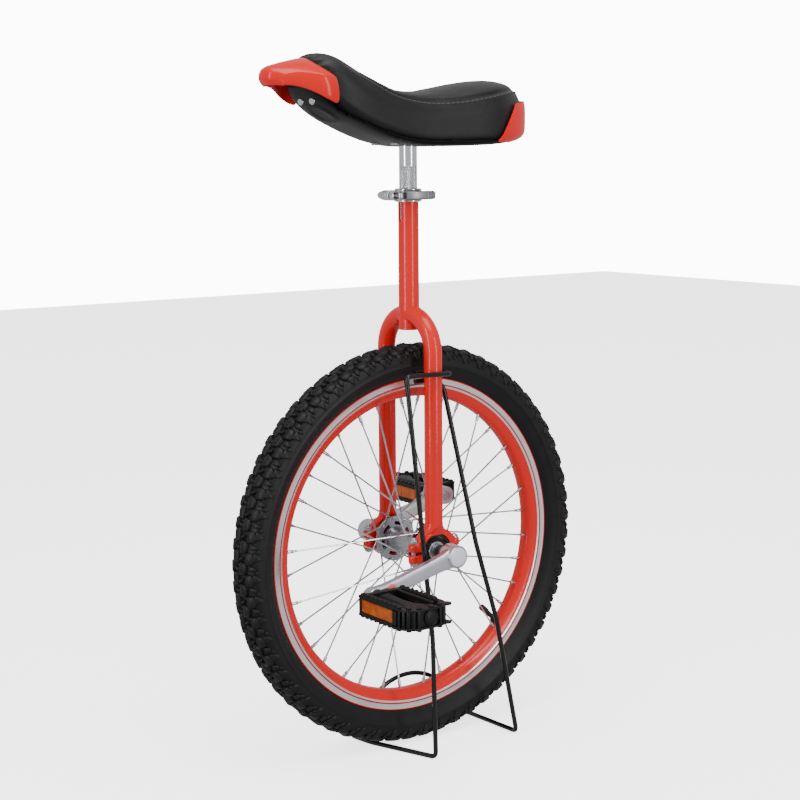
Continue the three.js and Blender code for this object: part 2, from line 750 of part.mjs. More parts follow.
// Lever: a forked cam head round the skewer barrel and a handle curled back round the collar.
function clampLever() {
  const half = 5.5;
  const low = skewerHeight - half;
  const high = skewerHeight + half;
  const shape = new THREE.Shape();
  shape.moveTo(skewerReach + 5, pivotY - 5.4);
  shape.absarc(skewerReach, pivotY, 7.4, -0.6, Math.PI / 2, false);
  shape.quadraticCurveTo(2, pivotY + 12, -24, pivotY + 6);
  shape.lineTo(-25, pivotY + 1.5);
  shape.quadraticCurveTo(0, pivotY + 5.5, skewerReach - 8, pivotY + 2);
  shape.lineTo(skewerReach - 6.6, pivotY - 3.4);
  shape.lineTo(skewerReach - 3, pivotY - 6.8);
  const forkStart = skewerReach - 4.2;
  return cut(
    plateXY(shape, low, high, 7),
    box(forkStart, skewerReach + 14, pivotY - 14, pivotY + 14, skewerHeight - 3.6, skewerHeight + 3.6),
  );
}
piece('clamp_lever', clampLever(), ...alloy);

// Seat post: an open tube with a drilled plate on top for the saddle.
function seatPost() {
  const under = plateTop - plateThickness;
  const holes = [];
  for (const x of [-saddleBoltX, saddleBoltX]) {
    for (const y of [-saddleBoltY, saddleBoltY]) {
      holes.push(cylinderZ(capBoltRadius + gap, under - 1, plateTop + 1, 10, x, y));
    }
  }
  return cut(
    join(
      cylinderZ(postRadius, postBottom, under + 1, 28),
      box(-saddleBoltX - 8, saddleBoltX + 8, -saddleBoltY - 7, saddleBoltY + 7, under, plateTop),
    ),
    cylinderZ(postBore, postBottom - 1, under - 1, 20),
    ...holes,
  );
}
piece('seat_post', seatPost(), ...chrome);

// ---- saddle ----
const saddleRear = -165;
const saddleFront = 156;
const hem = 9; // how far the base stands up inside the cover
const topLine = heightLine([
  [saddleRear, 818], [-145, 824], [-110, 825], [-70, 821], [-30, 813], [5, 810], [30, 815],
  [62, 829], [103, 845], [133, 852], [saddleFront, 847],
]);
const coverLowLine = heightLine([
  [saddleRear, 749], [-60, 747], [20, 747], [50, 750], [80, 757], [110, 768], [130, 782],
  [saddleFront, 806],
]);
const baseLowLine = heightLine([
  [saddleRear, 747], [-60, 744.5], [10, 745], [40, 749], [80, 758], [119, 772], [saddleFront, 794],
]);
const widthLine = heightLine([
  [saddleRear, 70], [-130, 72], [-90, 70], [-40, 60], [10, 52], [60, 49], [110, 49], [saddleFront, 48],
]);

// A closed skin along the saddle: full in the middle and rounded at both ends.
function saddleBody(inset, lowLine, around, along, lowExtra = 0) {
  const ball = closed(new THREE.SphereGeometry(1, around, along).rotateZ(-Math.PI / 2));
  const points = ball.attributes.position;
  const middleX = (saddleRear + saddleFront) / 2;
  const halfLength = (saddleFront - saddleRear) / 2 - inset;
  const soften = (value, power) => Math.sign(value) * Math.abs(value) ** power;
  for (let i = 0; i < points.count; i += 1) {
    const [px, py, pz] = [points.getX(i), points.getY(i), points.getZ(i)];
    const tilt = Math.asin(THREE.MathUtils.clamp(px, -1, 1));
    const t = soften(THREE.MathUtils.clamp(tilt / (Math.PI / 2), -1, 1), 0.8);
    const x = middleX + halfLength * t;
    const close = (1 - Math.abs(t) ** 5) ** (1 / 2.6);
    const circle = Math.hypot(py, pz);
    const [ca, sa] = circle > 1e-6 ? [py / circle, pz / circle] : [0, 0];
    const top = topLine(x) - inset;
    const low = lowLine(x) + inset - lowExtra;
    const waist = lowLine(x) + (topLine(x) - lowLine(x)) * 0.45;
    const y = (widthLine(x) - inset) * soften(ca, sa > 0 ? 0.62 : 0.15) * close;
    const rise = sa > 0 ? (top - waist) * soften(sa, 0.8) : (waist - low) * soften(sa, 0.25);
    points.setXYZ(i, x, y, waist + rise * (0.25 + 0.75 * close) * (circle > 1e-6 ? 1 : 0));
  }
  return closed(ball);
}

// Everything below (or above) a line of heights, as a block as wide as the saddle.
function slab(line, shift, below) {
  const [start, end, steps] = [saddleRear - 10, saddleFront + 10, 16];
  const edge = Array.from({ length: steps + 1 }, (_, k) => {
    const x = start + ((end - start) * k) / steps;
    return [x, line(x) + shift];
  });
  const far = below ? 700 : 900;
  return plateXZ(outline([...edge, [end, far], [start, far]]), -90, 90);
}

const skin = 1.6;

function saddleCover() {
  const inner = saddleBody(skin, coverLowLine, 16, 16, 14);
  return cut(saddleBody(0, coverLowLine, 16, 16), inner);
}
piece('saddle_cover', saddleCover(), '#161618', 0.5, 0);

function saddleFoam() {
  return common(saddleBody(skin + gap, coverLowLine, 16, 16, 14), slab(coverLowLine, hem + gap, false));
}
piece('saddle_foam', saddleFoam(), '#d9c27a', 0.95, 0);

// Saddle base: a thin pan, open below, drilled for the plate bolts and the handle screws.
const screwHeight = 796;
const screwY = 12;
const screwFace = 149.5;

function saddleBase() {
  const wall = 3;
  const outer = common(
    saddleBody(skin + 2 * gap, baseLowLine, 16, 16, skin),
    slab(coverLowLine, hem, true),
  );
  const hollow = common(
    saddleBody(skin + wall + 2 * gap, baseLowLine, 16, 16, 20),
    slab(coverLowLine, hem - wall, true),
  );
  const holes = [];
  for (const x of [-saddleBoltX, saddleBoltX]) {
    for (const y of [-saddleBoltY, saddleBoltY]) {
      holes.push(cylinderZ(capBoltRadius + gap, 740, 765, 10, x, y));
    }
  }
  const screwHoles = [-1, 1].map(
    (sign) => cylinderX(2.8, screwFace - 12, screwFace + 1, 10, sign * screwY, screwHeight),
  );
  return cut(outer, hollow, ...holes, ...screwHoles);
}
piece('saddle_base', saddleBase(), ...plastic);

// Saddle bolts: up through the plate and the base.
function saddleBolt(x, y) {
  const seat = plateTop - plateThickness - gap;
  return join(
    cylinderZ(5.2, seat - 3.5, seat, 6, x, y),
    cylinderZ(capBoltRadius, seat - 1, plateTop + 2, 10, x, y),
  );
}
for (const [end, x] of [['front', saddleBoltX], ['rear', -saddleBoltX]]) {
  for (const [side, sign] of sides) {
    piece(`saddle_bolt_${end}_${side}`, saddleBolt(x, sign * saddleBoltY), ...steel);
  }
}

// Handle screws: pan heads in front of the base nose.
function handleScrew() {
  return join(
    cylinderX(2.5, screwFace - 10, screwFace + 1, 10, screwY, screwHeight),
    cylinderX(5, screwFace, screwFace + 3.2, 12, screwY, screwHeight),
  );
}
bothSides('handle_screw', handleScrew(), steel);

// Front handle: a hood over the saddle nose with a grip beak and two swept back wings.
const hoodRear = 129;
const hoodTip = 206;
const hoodRoof = [[150, 846], [165, 843.5], [182, 838.5], [200, 834], [hoodTip, 827]];
const hoodUnder = [[203, 812], [188, 811], [172, 809.5], [156, 802], [142, 792], [134, 787]];
const hoodPlan = [[150, 51.5], [166, 43], [178, 31], [188, 26], [202, 24], [hoodTip, 17]];
const hoodFront = [[53.5, 812], [48, 828], [36, 838], [18, 844.5]];
const hoodWall = 3;

// The hood's outer block; with a wall given, the cavity inside it, open below and behind.
function hoodBlock(wall) {
  const behind = hoodRear - (wall > 0 ? 10 : 0);
  const below = wall > 0 ? 30 : 0;
  const tip = hoodTip - wall;
  const side = outline([
    [behind, 789 - below],
    [behind, 846 - wall],
    ...hoodRoof.map(([x, z]) => [Math.min(x, tip), z - wall]),
    ...hoodUnder.map(([x, z]) => [Math.min(x, tip - 3), z - below]),
  ]);
  const half = [[behind - 1, 53 - wall], ...hoodPlan.map(([x, y]) => [Math.min(x, tip), y - wall])];
  const plan = outline([...half, ...half.map(([x, y]) => [x, -y]).reverse()]);
  const front = [[53.5 - wall, 780 - below], ...hoodFront.map(([y, z]) => [y - wall, z - wall])];
  const arch = outline([...front, ...front.map(([y, z]) => [-y, z]).reverse()]);
  return common(plateXZ(side, -60, 60), plateXY(plan, 740, 860), plateYZ(arch, 100, 215));
}

function frontHandle() {
  return cut(
    hoodBlock(0),
    hoodBlock(hoodWall),
    saddleBody(-gap, coverLowLine, 16, 16),
  );
}
piece('front_handle', frontHandle(), '#d8261b', 0.2, 0);

// Rear bumper: a shell hugging the rear end of the saddle.
function rearBumper() {
  const region = outline([
    [saddleRear - 20, 740], [-98, 740], [-103, 762], [-112, 786], [-120, 803], [saddleRear - 20, 803],
  ]);
  return common(
    cut(
      saddleBody(-3, coverLowLine, 16, 16),
      saddleBody(-gap, coverLowLine, 16, 16),
      saddleBody(skin, coverLowLine, 16, 16, 14),
    ),
    plateXZ(region, -90, 90),
  );
}
piece('rear_bumper', rearBumper(), '#d8261b', 0.2, 0);

// Wire stand: one wire that hooks round the left leg twice and crosses under the tyre twice.
function standWire() {
  const inside = legSpacing / 2 - legRadius - wireRadius - 0.4;
  const outside = legSpacing / 2 + legRadius + wireRadius + 0.4;
  const arch = [];
  const archSteps = 9;
  const archFoot = 21; // how far the arch's centre sits below its feet
  const archReach = Math.acos(archFoot / standArchRadius);
  for (let i = 0; i <= archSteps; i += 1) {
    const angle = archReach - (2 * archReach * i) / archSteps;
    arch.push([
      standArchRadius * Math.sin(angle) - 29,
      -50,
      standArchRadius * Math.cos(angle) + wireRadius + 1 - archFoot,
    ]);
  }
  const corners = [
    [17, inside, 471], [-17, inside, 471], [-17, outside, 471], [51, outside, 473],
    [21.5, 73, 148], [27.5, 86, wireRadius], [61, -5, wireRadius], [66, -40, wireRadius],
    ...arch,
    [-105, -40, wireRadius], [-110, 76, wireRadius], [-79.5, 73, 155], [-52, 66, 256], [-19, 44, 452],
    [-15, inside, 461], [17, inside, 461],
  ];
  return swept(round(wireRadius, 8), new BentWire(corners, 7, 2));
}
piece('stand_wire', standWire(), ...blackPaint);

export default group;
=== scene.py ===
import bpy
import bmesh
import math
from mathutils import Matrix, Vector


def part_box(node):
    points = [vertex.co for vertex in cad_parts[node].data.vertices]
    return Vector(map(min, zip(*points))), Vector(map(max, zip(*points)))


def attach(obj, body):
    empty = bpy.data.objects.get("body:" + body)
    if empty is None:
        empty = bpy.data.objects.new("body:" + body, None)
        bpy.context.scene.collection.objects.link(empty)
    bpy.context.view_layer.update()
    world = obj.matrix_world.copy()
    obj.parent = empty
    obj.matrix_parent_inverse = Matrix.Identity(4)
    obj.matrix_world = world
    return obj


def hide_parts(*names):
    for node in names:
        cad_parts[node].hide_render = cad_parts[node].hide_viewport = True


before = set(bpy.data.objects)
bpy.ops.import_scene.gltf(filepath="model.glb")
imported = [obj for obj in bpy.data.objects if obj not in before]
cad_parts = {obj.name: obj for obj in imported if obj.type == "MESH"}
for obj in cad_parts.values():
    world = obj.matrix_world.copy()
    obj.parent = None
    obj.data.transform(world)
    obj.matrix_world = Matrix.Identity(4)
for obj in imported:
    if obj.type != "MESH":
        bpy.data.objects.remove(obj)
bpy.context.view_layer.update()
print("frame loaded", len(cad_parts), "nodes")

mm = 0.001
axleHeight = 0.252
sides = (("left", 1), ("right", -1))


def linear(hexColour):
    # sRGB hex to the linear values that a shader wants
    def channel(c):
        return c / 12.92 if c <= 0.04045 else ((c + 0.055) / 1.055) ** 2.4
    return tuple(channel(int(hexColour[i:i + 2], 16) / 255) for i in (1, 3, 5)) + (1.0,)


def addNode(tree, kind, settings=None, links=None):
    # settings go to the node or, by name or number, to its sockets; links join its sockets to outputs
    node = tree.nodes.new(kind)
    for key, value in (settings or {}).items():
        if isinstance(key, str) and hasattr(node, key):
            setattr(node, key, value)
        else:
            node.inputs[key].default_value = value
    for key, output in (links or {}).items():
        tree.links.new(output, node.inputs[key])
    return node


def newMaterial(name, **shaderValues):
    material = bpy.data.materials.new(name)
    material.use_nodes = True
    tree = material.node_tree
    shader = tree.nodes["Principled BSDF"]
    for key, value in shaderValues.items():
        socket = shader.inputs[key.replace("_", " ")]
        socket.default_value = linear(value) if isinstance(value, str) else value
    material.diffuse_color = shader.inputs["Base Color"].default_value
    return material, tree, shader


def objectPlace(tree):
    return addNode(tree, "ShaderNodeTexCoord").outputs["Object"]


def ramp(tree, source, stops):
    node = addNode(tree, "ShaderNodeValToRGB", links={"Fac": source})
    while len(node.color_ramp.elements) < len(stops):
        node.color_ramp.elements.new(0.5)
    for element, (position, value) in zip(node.color_ramp.elements, stops):
        element.position = position
        element.color = linear(value) if isinstance(value, str) else (value, value, value, 1)
    return node.outputs["Color"]


def addBump(tree, shader, height, distance, strength=1.0):
    bump = addNode(tree, "ShaderNodeBump", {"Distance": distance, "Strength": strength}, {"Height": height})
    tree.links.new(bump.outputs["Normal"], shader.inputs["Normal"])


def finishMesh(name, bm, materials, smoothAngle=35, body=None, replaces=(), merge=1e-5,
               recalc=True):
    # turns a bmesh into a finished piece that sits at the origin
    if merge:
        bmesh.ops.remove_doubles(bm, verts=bm.verts, dist=merge)
    if recalc:
        bmesh.ops.recalc_face_normals(bm, faces=bm.faces)
    for face in bm.faces:
        face.smooth = True
    for edge in bm.edges:
        if len(edge.link_faces) == 2 and edge.calc_face_angle(0) > math.radians(smoothAngle):
            edge.smooth = False
    mesh = bpy.data.meshes.new(name)
    bm.to_mesh(mesh)
    bm.free()
    for material in materials:
        mesh.materials.append(material)
    piece = bpy.data.objects.new(name, mesh)
    bpy.context.scene.collection.objects.link(piece)
    if replaces:
        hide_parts(*replaces)
    if body:
        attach(piece, body)
    return piece


def turnTo(direction, place=(0, 0, 0)):
    # a matrix that lays local Z along a direction
    return Matrix.Translation(place) @ Vector(direction).to_track_quat("Z", "Y").to_matrix().to_4x4()


def addTurned(bm, profile, steps=64, matrix=None, material=0, closed=True):
    # a profile of (radius, height) points in mm, spun about local Z
    verts = [bm.verts.new((r * mm, 0, z * mm)) for r, z in profile]
    edges = [bm.edges.new(pair) for pair in zip(verts, verts[1:])]
    if closed:
        edges.append(bm.edges.new((verts[-1], verts[0])))
    before = set(bm.faces)
    bmesh.ops.spin(bm, geom=verts + edges, cent=(0, 0, 0), axis=(0, 0, 1), angle=2 * math.pi, steps=steps,
                   use_merge=True, use_duplicate=False)
    made = [f for f in bm.faces if f not in before]
    for face in made:
        face.material_index = material
    points = list({v for f in made for v in f.verts})
    bmesh.ops.remove_doubles(bm, verts=points, dist=1e-6)
    points = list({v for f in bm.faces if f not in before for v in f.verts})
    if matrix is not None:
        bmesh.ops.transform(bm, matrix=matrix, verts=points)
    return points


def addRod(bm, start, end, radius, segments=16, bevel=0.0):
    # a round bar between two points, in metres, with optional rounded rims
    start, end = Vector(start), Vector(end)
    matrix = turnTo(end - start, (start + end) / 2)
    made = bmesh.ops.create_cone(bm, cap_ends=True, segments=segments, radius1=radius, radius2=radius,
                                 depth=(end - start).length, matrix=matrix)["verts"]
    if bevel > 0:
        faces = {f for v in made for f in v.link_faces}
        rims = {e for f in faces if len(f.verts) == segments for e in f.edges}
        bmesh.ops.bevel(bm, geom=list(rims), offset=bevel, affect="EDGES", segments=3, profile=0.5,
                        material=-1, clamp_overlap=True)


def addBlock(bm, low, high, bevel=0.0, segments=2):
    # a rounded block between two corners in mm
    low, high = Vector(low) * mm, Vector(high) * mm
    size = high - low
    matrix = Matrix.Translation((low + high) / 2) @ Matrix.Diagonal((*size, 1))
    made = bmesh.ops.create_cube(bm, size=1, matrix=matrix)["verts"]
    if bevel > 0:
        edges = {e for v in made for e in v.link_edges}
        bmesh.ops.bevel(bm, geom=list(edges), offset=bevel * mm, affect="EDGES", segments=segments,
                        profile=0.5, material=-1, clamp_overlap=True)
    return made


def loftRings(bm, rings, segments=32):
    # rings are matrices with a squareness: 2 is an ellipse, more is boxier
    loops = []
    for matrix, squareness in rings:
        made = bmesh.ops.create_circle(bm, cap_ends=False, segments=segments, radius=1.0)["verts"]
        for vert in made:
            x, y = vert.co.x, vert.co.y
            vert.co.x = math.copysign(abs(x) ** (2 / squareness), x)
            vert.co.y = math.copysign(abs(y) ** (2 / squareness), y)
        bmesh.ops.transform(bm, matrix=matrix, verts=made)
        loops.append(list({e for v in made for e in v.link_edges}))
    for first, second in zip(loops, loops[1:]):
        bmesh.ops.bridge_loops(bm, edges=first + second)
    for loop in (loops[0], loops[-1]):
        bmesh.ops.contextual_create(bm, geom=loop)


def wireMesh(name, path, radius, material, body, replaces=()):
    # a round wire along a path, kept as a mesh
    curve = bpy.data.curves.new(name, "CURVE")
    curve.dimensions = "3D"
    curve.bevel_depth = radius
    curve.bevel_resolution = 4
    curve.use_fill_caps = True
    spline = curve.splines.new("POLY")
    spline.points.add(len(path) - 1)
    for point, place in zip(spline.points, path):
        point.co = (*place, 1)
    drawn = bpy.data.objects.new(name, curve)
    bpy.context.scene.collection.objects.link(drawn)
    graph = bpy.context.evaluated_depsgraph_get()
    bm = bmesh.new()
    bm.from_mesh(drawn.evaluated_get(graph).to_mesh())
    bpy.data.objects.remove(drawn)
    return finishMesh(name, bm, [material], 60, body, replaces)


def mirrorY(bm):
    bmesh.ops.scale(bm, vec=(1, -1, 1), verts=bm.verts)
    bmesh.ops.reverse_faces(bm, faces=bm.faces)


def softEdges(piece, width, segments=2, angle=40):
    bevel = piece.modifiers.new("softEdges", "BEVEL")
    bevel.width = width
    bevel.segments = segments
    bevel.limit_method = "ANGLE"
    bevel.angle_limit = math.radians(angle)


def smoothed(piece, levels=2):
    subsurf = piece.modifiers.new("smoothed", "SUBSURF")
    subsurf.levels = levels
    subsurf.render_levels = levels


def makeEnamel(name, colour, coat=0.3):
    # gloss enamel sprayed on steel: a wet, even shine with a very slight orange peel
    material, tree, shader = newMaterial(name, Base_Color=colour, Roughness=0.3, IOR=1.5,
                                         Specular_IOR_Level=0.2, Coat_Weight=coat, Coat_Roughness=0.06)
    place = objectPlace(tree)
    peel = addNode(tree, "ShaderNodeTexNoise", {"Scale": 420.0, "Detail": 2.0}, {"Vector": place})
    cloud = addNode(tree, "ShaderNodeTexNoise", {"Scale": 18.0, "Detail": 3.0}, {"Vector": place})
    rough = addNode(tree, "ShaderNodeMapRange", {"To Min": 0.24, "To Max": 0.36},
                    {"Value": cloud.outputs["Fac"]})
    tree.links.new(rough.outputs["Result"], shader.inputs["Roughness"])
    addBump(tree, shader, peel.outputs["Fac"], 0.00006, 0.35)
    return material


def makeMetal(name, colour, roughness, grain=900.0, stretch=(1, 1, 1), depth=0.00004, variation=0.08):
    # bare or plated metal with fine draw marks; stretch sets which way they run
    material, tree, shader = newMaterial(name, Base_Color=colour, Metallic=1.0, Roughness=roughness)
    mapping = addNode(tree, "ShaderNodeMapping", {"Scale": stretch}, {"Vector": objectPlace(tree)})
    marks = addNode(tree, "ShaderNodeTexNoise", {"Scale": grain, "Detail": 4.0},
                    {"Vector": mapping.outputs[0]})
    cloud = addNode(tree, "ShaderNodeTexNoise", {"Scale": 60.0, "Detail": 3.0},
                    {"Vector": mapping.outputs[0]})
    rough = addNode(tree, "ShaderNodeMapRange",
                    {"To Min": max(roughness - variation, 0.02), "To Max": roughness + variation},
                    {"Value": cloud.outputs["Fac"]})
    tree.links.new(rough.outputs["Result"], shader.inputs["Roughness"])
    addBump(tree, shader, marks.outputs["Fac"], depth, 0.4)
    return material


def makePlastic(name, colour, roughness, grit=700.0, depth=0.00008, coat=0.0, gloss=0.3):
    # moulded plastic: spark-eroded tool grain on dull parts, almost none on glossy ones
    material, tree, shader = newMaterial(name, Base_Color=colour, Roughness=roughness, IOR=1.5,
                                         Specular_IOR_Level=gloss, Coat_Weight=coat, Coat_Roughness=0.08)
    place = objectPlace(tree)
    grain = addNode(tree, "ShaderNodeTexNoise", {"Scale": grit, "Detail": 3.0}, {"Vector": place})
    cloud = addNode(tree, "ShaderNodeTexNoise", {"Scale": 25.0, "Detail": 3.0}, {"Vector": place})
    rough = addNode(tree, "ShaderNodeMapRange",
                    {"To Min": max(roughness - 0.06, 0.03), "To Max": roughness + 0.08},
                    {"Value": cloud.outputs["Fac"]})
    tree.links.new(rough.outputs["Result"], shader.inputs["Roughness"])
    addBump(tree, shader, grain.outputs["Fac"], depth, 0.5)
    return material


def makeTyreRubber():
    # vulcanised rubber: matt charcoal, dusty in the hollows and polished by the mould on the blocks
    material, tree, shader = newMaterial("vulcanisedRubber", Base_Color="#0a0a0b", Roughness=0.5, IOR=1.5,
                                         Specular_IOR_Level=0.28)
    place = objectPlace(tree)
    dust = addNode(tree, "ShaderNodeTexNoise", {"Scale": 45.0, "Detail": 5.0}, {"Vector": place})
    colour = ramp(tree, dust.outputs["Fac"], [(0.3, "#050506"), (0.75, "#0d0d0f")])
    rough = addNode(tree, "ShaderNodeMapRange", {"To Min": 0.38, "To Max": 0.62},
                    {"Value": dust.outputs["Fac"]})
    skin = addNode(tree, "ShaderNodeTexNoise", {"Scale": 900.0, "Detail": 2.0}, {"Vector": place})
    tree.links.new(colour, shader.inputs["Base Color"])
    tree.links.new(rough.outputs["Result"], shader.inputs["Roughness"])
    addBump(tree, shader, skin.outputs["Fac"], 0.0001, 0.4)
    return material


def makeVinyl():
    # embossed upholstery vinyl: 1.2 mm leather grain pressed into a soft satin black skin
    material, tree, shader = newMaterial("embossedVinyl", Base_Color="#08080a", Roughness=0.42, IOR=1.5,
                                         Specular_IOR_Level=0.25,
                                         Sheen_Weight=0.06, Sheen_Roughness=0.5)
    place = objectPlace(tree)
    grain = addNode(tree, "ShaderNodeTexVoronoi", {"feature": "DISTANCE_TO_EDGE", "Scale": 820.0},
                    {"Vector": place})
    creases = addNode(tree, "ShaderNodeMapRange", {"From Max": 0.12}, {"Value": grain.outputs["Distance"]})
    cloud = addNode(tree, "ShaderNodeTexNoise", {"Scale": 30.0, "Detail": 4.0}, {"Vector": place})
    rough = addNode(tree, "ShaderNodeMapRange", {"To Min": 0.36, "To Max": 0.5},
                    {"Value": cloud.outputs["Fac"]})
    tree.links.new(rough.outputs["Result"], shader.inputs["Roughness"])
    addBump(tree, shader, creases.outputs["Result"], 0.00012, 0.35)
    return material


def makeAmber():
    # amber acrylic reflector: clear face over a field of 2 mm prisms
    material, tree, shader = newMaterial("amberAcrylic", Base_Color="#8a3c05", Roughness=0.22, IOR=1.49,
                                         Specular_IOR_Level=0.25, Coat_Weight=0.12, Coat_Roughness=0.05)
    place = objectPlace(tree)
    prisms = addNode(tree, "ShaderNodeTexVoronoi", {"feature": "F1", "Scale": 480.0, "Randomness": 0.0},
                     {"Vector": place})
    cloud = addNode(tree, "ShaderNodeTexNoise", {"Scale": 70.0, "Detail": 3.0}, {"Vector": place})
    colour = ramp(tree, cloud.outputs["Fac"], [(0.3, "#7a3002"), (0.7, "#a84c04")])
    tree.links.new(colour, shader.inputs["Base Color"])
    addBump(tree, shader, prisms.outputs["Distance"], 0.0006, 0.6)
    return material


def makeKnurledChrome():
    # bright chrome, with a band of diamond knurling where the post is gripped
    material, tree, shader = newMaterial("brightChrome", Base_Color="#e3e5ea", Metallic=1.0, Roughness=0.07)
    place = objectPlace(tree)
    split = addNode(tree, "ShaderNodeSeparateXYZ", links={"Vector": place})
    angle = addNode(tree, "ShaderNodeMath", {"operation": "ARCTAN2"},
                    {0: split.outputs["Y"], 1: split.outputs["X"]})
    waves = []
    for lean in (1, -1):
        # 22 starts round the post with a 2.6 mm rise: coarse enough to be seen
        height = addNode(tree, "ShaderNodeMath", {"operation": "MULTIPLY", 1: lean * 2 * math.pi / 0.0026},
                         {0: split.outputs["Z"]})
        turn = addNode(tree, "ShaderNodeMath", {"operation": "MULTIPLY_ADD", 1: 22.0},
                       {0: angle.outputs[0], 2: height.outputs[0]})
        waves.append(addNode(tree, "ShaderNodeMath", {"operation": "SINE"}, {0: turn.outputs[0]}))
    diamonds = addNode(tree, "ShaderNodeMath", {"operation": "MULTIPLY"},
                       {0: waves[0].outputs[0], 1: waves[1].outputs[0]})
    below = addNode(tree, "ShaderNodeMapRange", {"From Min": 0.7205, "From Max": 0.7195},
                    {"Value": split.outputs["Z"]})
    pattern = addNode(tree, "ShaderNodeMath", {"operation": "MULTIPLY"},
                      {0: diamonds.outputs[0], 1: below.outputs["Result"]})
    rough = addNode(tree, "ShaderNodeMapRange", {"To Min": 0.06, "To Max": 0.26},
                    {"Value": below.outputs["Result"]})
    tree.links.new(rough.outputs["Result"], shader.inputs["Roughness"])
    addBump(tree, shader, pattern.outputs[0], 0.0004, 0.7)
    return material


enamelRed = makeEnamel("glossEnamelRed", "#c0120a")
enamelBlack = makeEnamel("glossEnamelBlack", "#08080a", 0.4)
lineRed = makeEnamel("rimLineEnamel", "#a5131a", 0.3)
zincSteel = makeMetal("zincPlatedSteel", "#b3b5ba", 0.3)
spokeSteel = makeMetal("drawnSteelWire", "#c3c5ca", 0.22, 300.0)
brakeTrack = makeMetal("machinedAluminium", "#e6e7ea", 0.3, 1500.0)
castAluminium = makeMetal("satinAluminium", "#cfcfd8", 0.34, 700.0)
polishedAluminium = makeMetal("polishedAluminium", "#dfe0e4", 0.14, 500.0)
leverAluminium = makeMetal("tumbledAluminium", "#8f9094", 0.42, 800.0)
brightChrome = makeKnurledChrome()
acornChrome = makeMetal("platedChrome", "#d3d5da", 0.12, 300.0)
sealRubber = makePlastic("nitrileSeal", "#060607", 0.35)
capPlastic = makePlastic("satinNylonCap", "#bfc0cb", 0.38)
pedalNylon = makePlastic("mouldedNylon", "#0b0c0d", 0.4, 500.0, 0.00012, gloss=0.25)
baseNylon = makePlastic("mouldedPolypropylene", "#030304", 0.38, 400.0, 0.00008, gloss=0.12)
redAbs = makePlastic("glossAbsRed", "#bd1108", 0.24, 200.0, 0.00002, 0.12, gloss=0.22)
stickerCoral = makePlastic("printedVinylSticker", "#e4665a", 0.45, 300.0, 0.00003)
tyreRubber = makeTyreRubber()
hoseRubber = makePlastic("butylRubber", "#131314", 0.55)
saddleVinyl = makeVinyl()
amberAcrylic = makeAmber()
print("finishes made")


tyre = {
    "repeats": 60,           # tread pitches round the wheel
    "carcass": 247.6,        # radius under the blocks
    "knobHeight": 4.4,
    "section": [(208.0, 12.2), (210.6, 13.6), (212.0, 15.2), (216.0, 18.6), (221.0, 21.8), (225.6, 23.6),
                (226.4, 24.5), (227.4, 24.6), (228.2, 24.0), (232.0, 24.2), (236.0, 23.6), (239.8, 22.0),
                (243.0, 18.8), (245.6, 14.2), (247.0, 8.0), (247.6, 0.0)],
    "crown": 243.0,          # radius of the inside at the middle
    "inside": [(240.0, 13.0), (232.0, 20.0), (222.0, 18.0), (214.0, 12.0), (206.0, 10.4)],
}


def carcassPoint(across):
    # the outside of the tyre at a distance across from the middle, with its outward lean
    points = [Vector((y, r)) for r, y in reversed(tyre["section"])]
    left = abs(across)
    for here, there in zip(points, points[1:]):
        step = (there - here).length
        if left <= step or there is points[-1]:
            at = here.lerp(there, left / step)
            along = (there - here).normalized()
            break
        left -= step
    lean = Vector((-along.y, along.x))
    side = math.copysign(1, across)
    return side * at.x, at.y, side * lean.x, lean.y


def addKnob(bm, centre, size, height, turn=0.0, taper=0.85, point=1.0, segments=1, bevel=0.9, sink=1.4):
    # one tread block, drawn flat as (along, across, up) in mm; point narrows its outer end
    made = bmesh.ops.create_cube(bm, size=1)["verts"]
    bmesh.ops.scale(bm, vec=(taper, taper, 1), verts=[v for v in made if v.co.z > 0])
    bmesh.ops.scale(bm, vec=(point, 1, 1), verts=[v for v in made if v.co.y > 0])
    faces = {f for v in made for f in v.link_faces}
    bmesh.ops.scale(bm, vec=(size[0], size[1], height + sink), verts=made)
    bmesh.ops.rotate(bm, cent=(0, 0, 0), matrix=Matrix.Rotation(turn, 3, "Z"), verts=made)
    bmesh.ops.translate(bm, vec=(centre[0], centre[1], (height - sink) / 2), verts=made)
    rims = [e for e in {e for f in faces for e in f.edges} if any(v.co.z > 0 for v in e.verts)]
    result = bmesh.ops.bevel(bm, geom=rims, offset=bevel, affect="EDGES", segments=segments, profile=0.5,
                             material=-1, clamp_overlap=True)
    return list(set(result["verts"]) | {v for v in made if v.is_valid})


